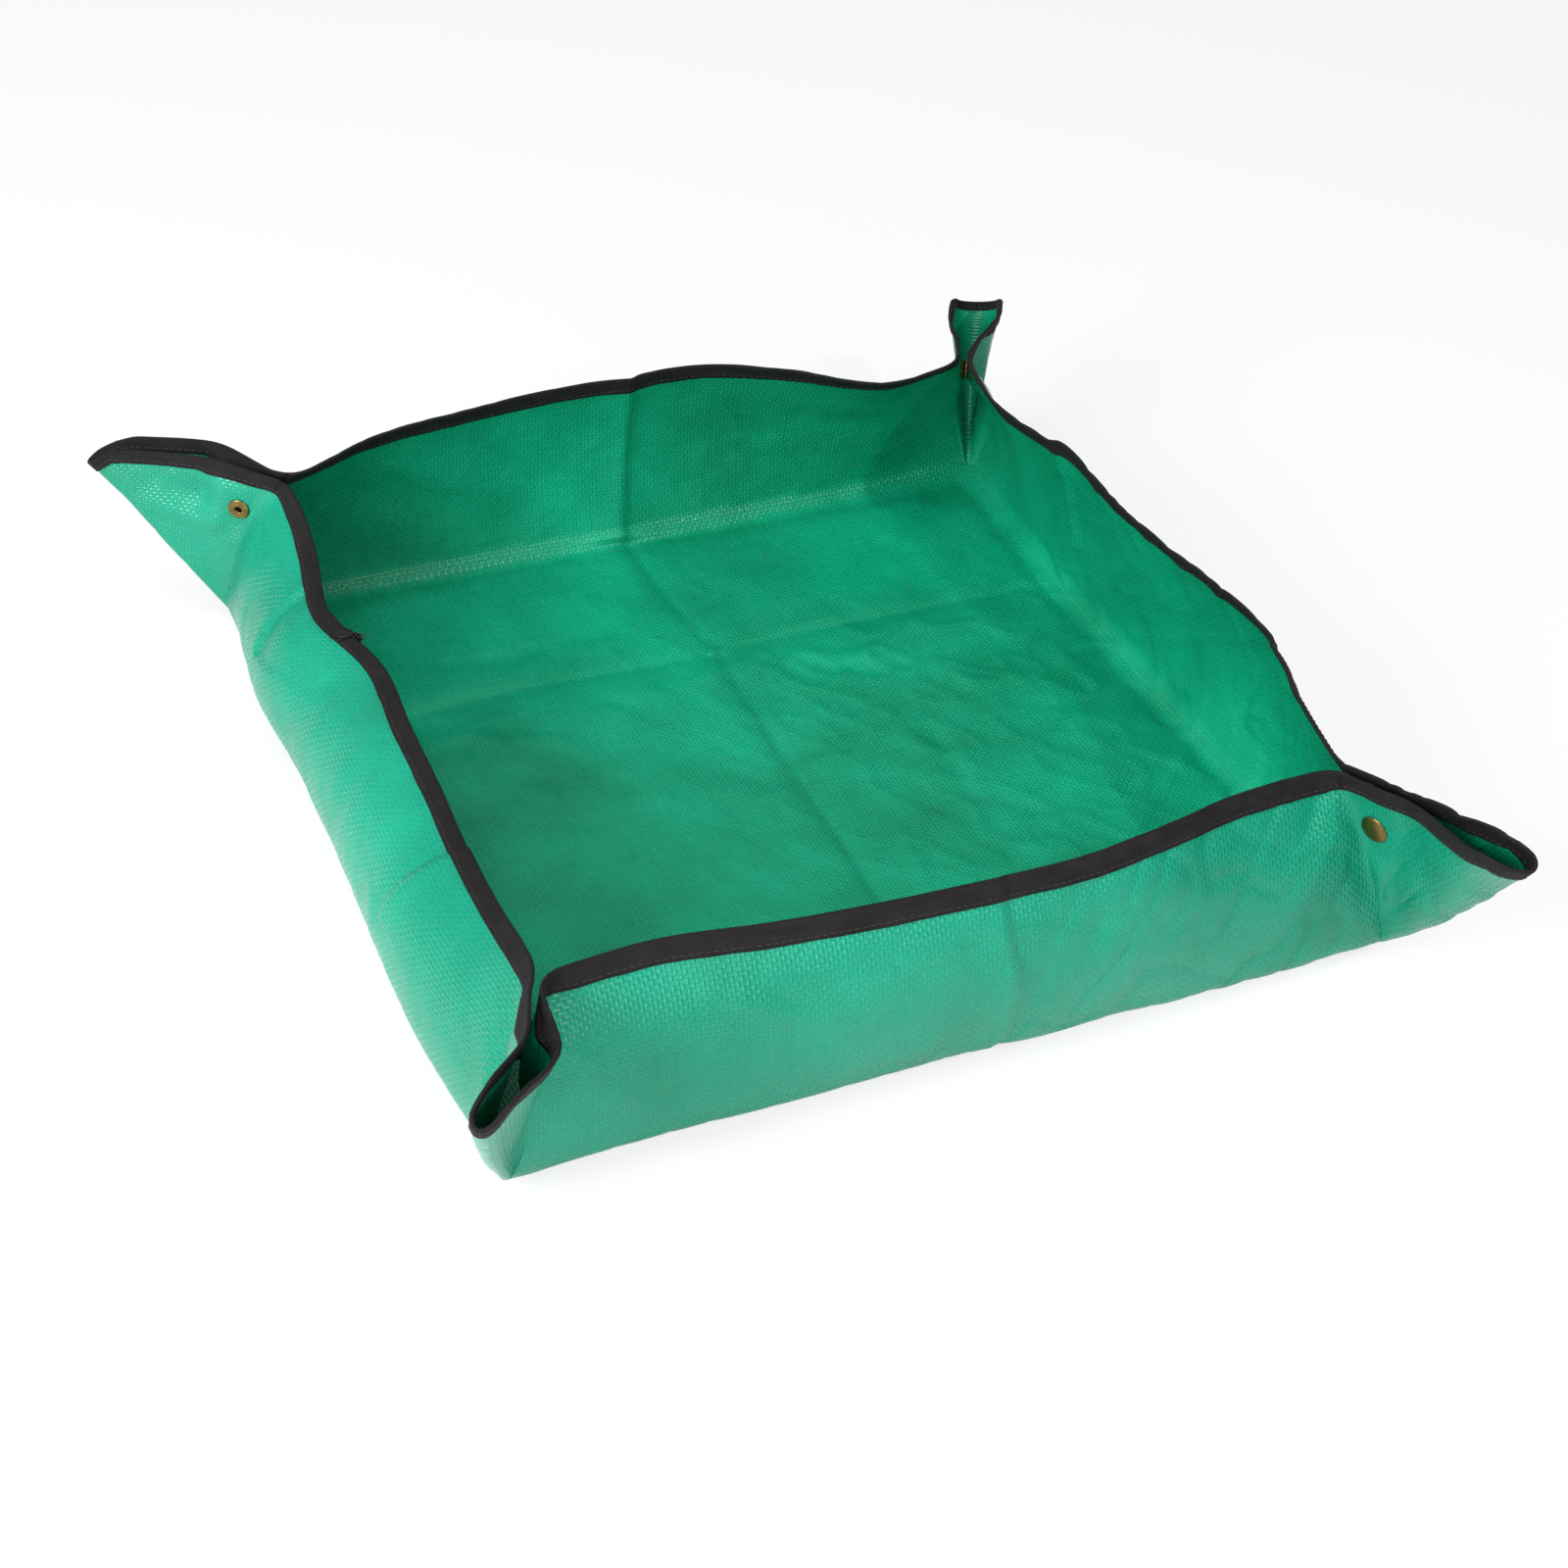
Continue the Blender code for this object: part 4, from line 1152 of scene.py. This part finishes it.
def stitchTree(material):
    tree = bpy.data.node_groups.new("runningStitch", "GeometryNodeTree")
    tree.interface.new_socket("Geometry", in_out="INPUT", socket_type="NodeSocketGeometry")
    for name in stitch:
        tree.interface.new_socket(name, in_out="INPUT", socket_type="NodeSocketFloat")
    tree.interface.new_socket("Geometry", in_out="OUTPUT", socket_type="NodeSocketGeometry")
    graph = Graph(tree)
    given = tree.nodes.new("NodeGroupInput")
    length, thread, rise, wander = (Value(graph, given.outputs[i]) for i in (1, 2, 3, 4))
    first, middle, last = (
        graph.add("ShaderNodeCombineXYZ", {}, {0: length * along, 1: 0.0, 2: rise * high})
        for along, high in ((-0.5, -1.2), (0.0, 2.2), (0.5, -1.2)))
    bow = graph.add("GeometryNodeCurveQuadraticBezier", {},
                    {"Resolution": 5, "Start": first, "Middle": middle, "End": last})
    ring = graph.add("GeometryNodeCurvePrimitiveCircle", {},
                     {"Resolution": 6, "Radius": thread * 0.5})
    strand = graph.add("GeometryNodeCurveToMesh", {},
                       {"Curve": bow, "Profile Curve": ring, "Fill Caps": True})
    along, outwards = (graph.add("GeometryNodeInputNamedAttribute", {"data_type": "FLOAT_VECTOR"},
                                 {"Name": name}) for name in ("along", "outwards"))
    ahead = graph.add("FunctionNodeAlignRotationToVector", {"axis": "X"}, {"Vector": along})
    upright = graph.add("FunctionNodeAlignRotationToVector", {"axis": "Z", "pivot_axis": "X"},
                        {"Rotation": ahead, "Vector": outwards})
    chance = graph.add("FunctionNodeRandomValue", {"data_type": "FLOAT"},
                       {"Min": wander * -1.0, "Max": wander, "Seed": seam["seed"]}, 1)
    tilt = graph.add("ShaderNodeCombineXYZ", {}, {0: 0.0, 1: 0.0, 2: chance})
    turnBy = graph.add("FunctionNodeEulerToRotation", {}, {0: tilt})
    turned = graph.add("FunctionNodeRotateRotation", {"rotation_space": "LOCAL"},
                       {"Rotation": upright, "Rotate By": turnBy})
    spots = Value(graph, given.outputs[0])
    laid = graph.add("GeometryNodeInstanceOnPoints", {},
                     {"Points": spots, "Instance": strand, "Rotation": turned})
    real = graph.add("GeometryNodeRealizeInstances", {}, {"Geometry": laid})
    shaded = graph.add("GeometryNodeSetMaterial", {}, {"Geometry": real, "Material": material})
    out = tree.nodes.new("NodeGroupOutput")
    tree.links.new(shaded.socket, out.inputs[0])
    return tree


def alongLine(at, run, values):
    return np.stack([np.interp(at, run, values[:, i]) for i in range(3)], -1)


def sewSeam(name, lines, tree):
    # a point for each stitch, with the way that it lies, becomes the stitches of a length of tape
    spots, ways, outs = [], [], []
    for line, away in lines:
        steps = np.linalg.norm(np.diff(line, axis=0), axis=1)
        run = np.concatenate([[0], np.cumsum(steps)])
        count = max(1, int(run[-1] / seam["pitch"]))
        at = (np.arange(count) + 0.5) * run[-1] / count
        spots.append(alongLine(at, run, line))
        ways.append(unit(alongLine(at + 0.001, run, line) - alongLine(at - 0.001, run, line)))
        outs.append(unit(alongLine(at, run, away)))
    spots, ways, outs = (np.concatenate(item) for item in (spots, ways, outs))
    mesh = bpy.data.meshes.new(name + "Points")
    mesh.from_pydata([tuple(p) for p in spots], [], [])
    for label, values in (("along", ways), ("outwards", outs)):
        layer = mesh.attributes.new(label, "FLOAT_VECTOR", "POINT")
        layer.data.foreach_set("vector", values.astype(np.float32).reshape(-1))
    holder = linked(name + "Points", mesh)
    sewing = holder.modifiers.new("sewing", "NODES")
    sewing.node_group = tree
    for item in tree.interface.items_tree:
        if item.in_out == "INPUT" and item.name in stitch:
            sewing[item.identifier] = stitch[item.name]
    evaluated = holder.evaluated_get(bpy.context.evaluated_depsgraph_get())
    made = bpy.data.meshes.new_from_object(evaluated)
    bpy.data.objects.remove(holder, do_unlink=True)
    made.name = name
    for polygon in made.polygons:
        polygon.use_smooth = True
    return linked(name, made)


# Press studs: turned from their outlines, with rounded corners
snap = {
    "capRadius": 0.0075, "capHeight": 0.0021, "capWall": 0.0005, "shank": 0.0015,
    "flare": 0.0022, "socketRadius": 0.0062, "socketHeight": 0.0031, "socketHole": 0.0034,
    "socketBack": 0.00035, "studRadius": 0.0060, "studFlange": 0.0006, "ball": 0.0029,
    "ballHeight": 0.0015, "studWall": 0.00065, "postRadius": 0.0062, "postFlange": 0.0011,
    "postHole": 0.0018, "postWall": 0.0003, "postFlare": 0.0026,
    "metalGap": 0.0002, "holeGap": 0.0003, "rounding": 0.00022, "steps": 56,
}
# how far the metal that lies on the cloth is from its middle, on either side
face = cloth["cadThickness"] / 2 + snap["metalGap"]


def capOutline():
    r, h = snap["capRadius"], snap["capHeight"]
    end, top = face + snap["socketBack"] + snap["metalGap"] * 2, face + h
    dome = [(r * out, top - h * down) for out, down in (
        (0.30, 0.03), (0.55, 0.13), (0.76, 0.31), (0.90, 0.53), (0.97, 0.70), (0.985, 0.76),
        (1, 0.80))]
    return ((0, top), *dome, (r * 0.99, face + h * 0.06), (r - snap["capWall"], face),
            (r - snap["capWall"] * 2, face + h * 0.20), (snap["shank"], face + h * 0.20),
            (snap["shank"], -end + snap["metalGap"]), (snap["flare"], -end),
            (snap["flare"], -end - snap["metalGap"]), (0, -end - snap["metalGap"]))


def socketOutline():
    back = -face
    mouth, lip = back - snap["socketHeight"], snap["socketHeight"] * 0.12
    hole, r = snap["shank"] + snap["holeGap"], snap["socketRadius"]
    return ((hole, back), (r * 0.86, back), (r, back - lip),
            (r, back - snap["socketHeight"] * 0.45), (r * 0.84, mouth + lip), (r * 0.76, mouth),
            (snap["socketHole"] + lip, mouth),
            (snap["socketHole"], mouth + lip), (snap["socketHole"], back - snap["socketBack"]),
            (hole, back - snap["socketBack"]))


def studOutline():
    back = -face
    flange = back - snap["studFlange"]
    top, r = flange - snap["ballHeight"], snap["studRadius"]
    bore = snap["postHole"] + snap["postWall"] + snap["metalGap"]
    neck, ball = snap["ball"] * 0.90, snap["ball"]
    return ((bore, back), (r, back), (r, back - snap["studFlange"] * 0.6), (r * 0.93, flange),
            (neck, flange), (neck, mix(flange, top, 0.25)), (ball, mix(flange, top, 0.60)),
            (ball * 0.93, mix(flange, top, 0.90)), (bore + snap["studWall"] / 2, top),
            (bore, top + snap["studWall"] / 2))


def postOutline():
    top, r = face + snap["postFlange"], snap["postRadius"]
    outer = snap["postHole"] + snap["postWall"]
    studTop = -face - snap["studFlange"] - snap["ballHeight"]
    end = studTop - snap["metalGap"] - snap["postWall"]
    groove = [(r * out, top - down) for out, down in (
        (0.48, 0), (0.62, 0.00006), (0.66, 0.00020), (0.71, 0.00020), (0.76, 0.00008))]
    return ((snap["postHole"] + snap["postWall"] * 2, top), *groove,
            (r * 0.90, mix(face, top, 0.72)), (r, mix(face, top, 0.25)), (r * 0.96, face),
            (outer, face), (outer, end + snap["postWall"]),
            (snap["postFlare"], end + snap["postWall"]), (snap["postFlare"], end),
            (snap["postHole"], end), (snap["postHole"], mix(face, top, 0.6)))


def rounded(outline, closed):
    # each corner becomes two points a little way along its edges
    points = [Vector(p) for p in outline]
    result = []
    count = len(points)
    for i, point in enumerate(points):
        if not closed and i in (0, count - 1):
            result.append(point)
            continue
        before, after = points[i - 1], points[(i + 1) % count]
        for other in (before, after):
            step = (other - point) * min(0.25, snap["rounding"] / max((other - point).length, 1e-9))
            result.append(point + step)
    return result


def snapFrame(ear, wall):
    past, high = snapPlace(ear)
    axis = earTurn(ear, wall) @ earFrame(ear, wall)[2]
    across = up.cross(axis).normalized()
    rotation = Matrix((across, axis.cross(across), axis)).transposed().to_4x4()
    return Matrix.Translation(earPoint(ear, wall, past, high)) @ rotation


def turnedPiece(name, outline, place, material):
    closed = outline[0][0] > 0
    line = rounded(outline, closed)
    steps, points, faces = snap["steps"], [], []
    for radius, z in line:
        for s in range(steps):
            angle = 2 * math.pi * s / steps
            points.append(place @ Vector((radius * math.cos(angle), radius * math.sin(angle), z)))
    count = len(line)
    for i in range(count if closed else count - 1):
        j = (i + 1) % count
        for s in range(steps):
            t = (s + 1) % steps
            faces.append([i * steps + s, i * steps + t, j * steps + t, j * steps + s])
    return pointOutwards(meshPiece(name, points, faces, [material]), 1e-7)


# Materials and pieces
# the tarp's inside and outside materials are lit and shaded copies of one cloth: their tones are
# painted light and shade
insideTarp = tarpMaterial("tarpInside", tarp["inside"])
outsideTarp = tarpMaterial("tarpOutside", tarp["outside"])
blackTape = tapeMaterial()
blackThread = threadMaterial()
brass = brassMaterial()
print("materials made")

whole = wholeCloth()
print("cloth laid out:", len(whole["points"]), "points")
cloths = {panel: clothPanel(i, [insideTarp, outsideTarp]) for i, panel in enumerate(panels)}
tapes, seamLines, jointPieces = tapeLengths([blackTape])
print("tape laid round the rim")
stitches = stitchTree(blackThread)
seams = {panel: sewSeam(panelName(panel).replace("Cloth", "Seam"), lines, stitches)
         for panel, lines in seamLines.items()}
print("seam sewn:", sum(len(piece.data.polygons) for piece in seams.values()), "faces")


def bodyOf(panel):
    if panel == "floor":
        return "mat_floor"
    return f"{panel[1]}_wall" if panel[0] == "wall" else f"{panel[1]}_ear_{panel[2]}_half"


def nodeOf(panel, kind):
    if panel == "floor":
        return "floor_panel"
    if panel[0] == "wall":
        return f"{panel[1]}_wall_{kind or 'panel'}"
    return f"{panel[1]}_ear_{panel[2]}_{kind or 'side'}"


# The floor that the mat stands on, and how much of it the camera sees as plain white
ground = {"size": 14.0, "drop": 0.0002, "color": (0.88, 0.885, 0.89, 1), "roughness": 0.9,
          "whitened": 0.75}


def groundPlane():
    mesh = bpy.data.meshes.new("studioFloor")
    half = ground["size"] / 2
    corners = [(-half, -half, 0), (half, -half, 0), (half, half, 0), (-half, half, 0)]
    mesh.from_pydata(corners, [], [(0, 1, 2, 3)])
    plane = linked("studioFloor", mesh)
    plane.location.z = -ground["drop"]
    material, graph = newMaterial("studioFloorPaint")
    plug(graph, {"Base Color": ground["color"], "Roughness": ground["roughness"]})
    paint = Value(graph, graph.tree.nodes["Principled BSDF"].outputs[0])
    white = graph.add("ShaderNodeEmission", {}, {"Color": (1, 1, 1, 1), "Strength": 1.0})
    seen = graph.add("ShaderNodeLightPath") * ground["whitened"]
    both = graph.add("ShaderNodeMixShader", {}, {0: seen, 1: paint, 2: white})
    graph.tree.links.new(both.socket, graph.tree.nodes["Material Output"].inputs[0])
    mesh.materials.append(material)
    return plane


studioFloor = groundPlane()

# How far past a fold line a bend's place reaches, and which way is past a floor crease
bend = {"length": 0.008, "outward": 0.5, "up": 0.85}


def bendPlace(panel):
    # the place of a bend, from past the last point of the fold line, so that the line itself would
    # stay closed
    places = whole["surfaces"][panel][..., :3]
    if panel[0] == "wall":
        outward = directions(panel[1])[0]
        line, way = places[0], np.array(outward * bend["outward"] + up * bend["up"])
    else:
        line, upper = places[:, 0], places[len(rows) // 2:]
        way = (upper[:, 5] - upper[:, 0]).mean(0)
    way = unit(way)
    start = (line @ way).max()
    return tuple(way * start), tuple(way * (start + bend["length"]))


def hang(piece, panel):
    # the floor's piece rides on the floor's body; any other piece only has its transform baked into
    # its mesh
    if panel == "floor":
        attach(piece, "mat_floor")
    else:
        joined = "mat_floor" if panel[0] == "wall" else f"{panel[2]}_wall"
        bodyOf(panel)
        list(bendPlace(panel))
        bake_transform(piece)


for panel, piece in cloths.items():
    hang(piece, panel)
    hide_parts(nodeOf(panel, None))
for panel, piece in tapes.items():
    for strip in (piece, seams[panel]):
        if panel[0] == "wall":
            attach(strip, bodyOf(panel))
        else:
            hang(strip, panel)
    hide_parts(nodeOf(panel, "binding"))

for piece in jointPieces:
    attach(piece, "left_wall")

for ear, shape in ears.items():
    for wall in shape["walls"]:
        place = snapFrame(ear, wall)
        kinds = (("cap", capOutline()), ("socket", socketOutline()))
        if endSign(ear, wall) < 0:
            kinds = (("post", postOutline()), ("stud", studOutline()))
        for kind, outline in kinds:
            piece = turnedPiece(f"{ear}Snap{kind.capitalize()}", outline, place, brass)
            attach(piece, f"{ear}_ear_{wall}_half")
            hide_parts(f"{ear}_snap_{kind}")
print("press studs turned")


def earArea(ear):
    corners = [Vector((0, 0)), earEdge(ear, 0), earEdge(ear, flatEar(ear)["straight"]),
               earEdge(ear, flatEar(ear)["whole"])]
    return abs(sum(a.x * b.y - b.x * a.y for a, b in zip(corners, corners[1:] + corners[:1]))) / 2


def wallArea(wall):
    return (halfFloor + wallReach(wall, 1, height) / 2 + wallReach(wall, -1, height) / 2) * height


for panel, piece in cloths.items():
    if panel == "floor":
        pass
    elif panel[0] == "wall":
        onIt = [tapes[panel], seams[panel]] + (list(jointPieces) if panel[1] == "left" else [])
        wallArea(panel[1])
    else:
        earArea(panel[1])

# Camera where the photograph was taken from, worked out from the mat's outline
camera = {"azimuth": -0.460753, "elevation": 0.666414, "roll": 0.076417, "distance": 1.43945,
          "focal": 2734.73, "across": -11.437, "down": -9.719, "image": 1600, "sensor": 36}


def placeCamera():
    az, el, roll = camera["azimuth"], camera["elevation"], camera["roll"]
    back = Vector((math.sin(az) * math.cos(el), -math.cos(az) * math.cos(el), math.sin(el)))
    right = (-back).cross(up).normalized()
    top = right.cross(-back)
    r = right * math.cos(roll) + top * math.sin(roll)
    u = top * math.cos(roll) - right * math.sin(roll)
    data = bpy.data.cameras.new("photoCamera")
    eye = linked("photoCamera", data)
    turned = Matrix((r, u, back)).transposed().to_4x4()
    eye.matrix_world = Matrix.Translation(back * camera["distance"]) @ turned
    data.sensor_width = camera["sensor"]
    data.lens = camera["sensor"] * camera["focal"] / camera["image"]
    data.shift_x = -camera["across"] / camera["image"]
    data.shift_y = camera["down"] / camera["image"]
    bpy.context.scene.camera = eye


lampDistance = 2.4
lamps = (
    # name, direction from the mat, size, watts
    ("leftSoftbox", (-0.92, -0.30, 0.55), 1.0, 56),
    ("topSoftbox", (-0.30, -0.05, 1.0), 1.2, 25),
    ("frontSoftbox", (-0.35, -1.0, 0.42), 1.2, 20),
    ("keyLamp", (0.36, -0.64, 0.69), 0.09, 15),
)
# The world: its full light for the camera, a share of it for reflections, and less on the object
backdrop = {"color": (0.96, 0.97, 0.98, 1), "glossy": 0.2, "ambient": 0.26}


def placeLamps():
    for name, toward, size, power in lamps:
        data = bpy.data.lights.new(name, "AREA")
        data.shape, data.size, data.energy = "SQUARE", size, power
        lamp = linked(name, data)
        direction = Vector(toward).normalized()
        lamp.location = direction * lampDistance
        lamp.rotation_mode = "QUATERNION"
        lamp.rotation_quaternion = direction.to_track_quat("Z", "Y")
    world = bpy.data.worlds.new("studioWorld")
    bpy.context.scene.world = world
    world.use_nodes = True
    graph = Graph(world.node_tree)
    rays = graph.add("ShaderNodeLightPath").socket.node
    seen, glossy, through = (Value(graph, rays.outputs[f"Is {kind} Ray"])
                             for kind in ("Camera", "Glossy", "Transmission"))
    direct = (seen + glossy * backdrop["glossy"] + through).held()
    strength = direct * (1 - backdrop["ambient"]) + backdrop["ambient"]
    shader = world.node_tree.nodes["Background"]
    shader.inputs["Color"].default_value = backdrop["color"]
    graph.tree.links.new(strength.socket, shader.inputs["Strength"])


placeCamera()
placeLamps()
bpy.context.scene.view_settings.view_transform = "Standard"

print("everything placed")
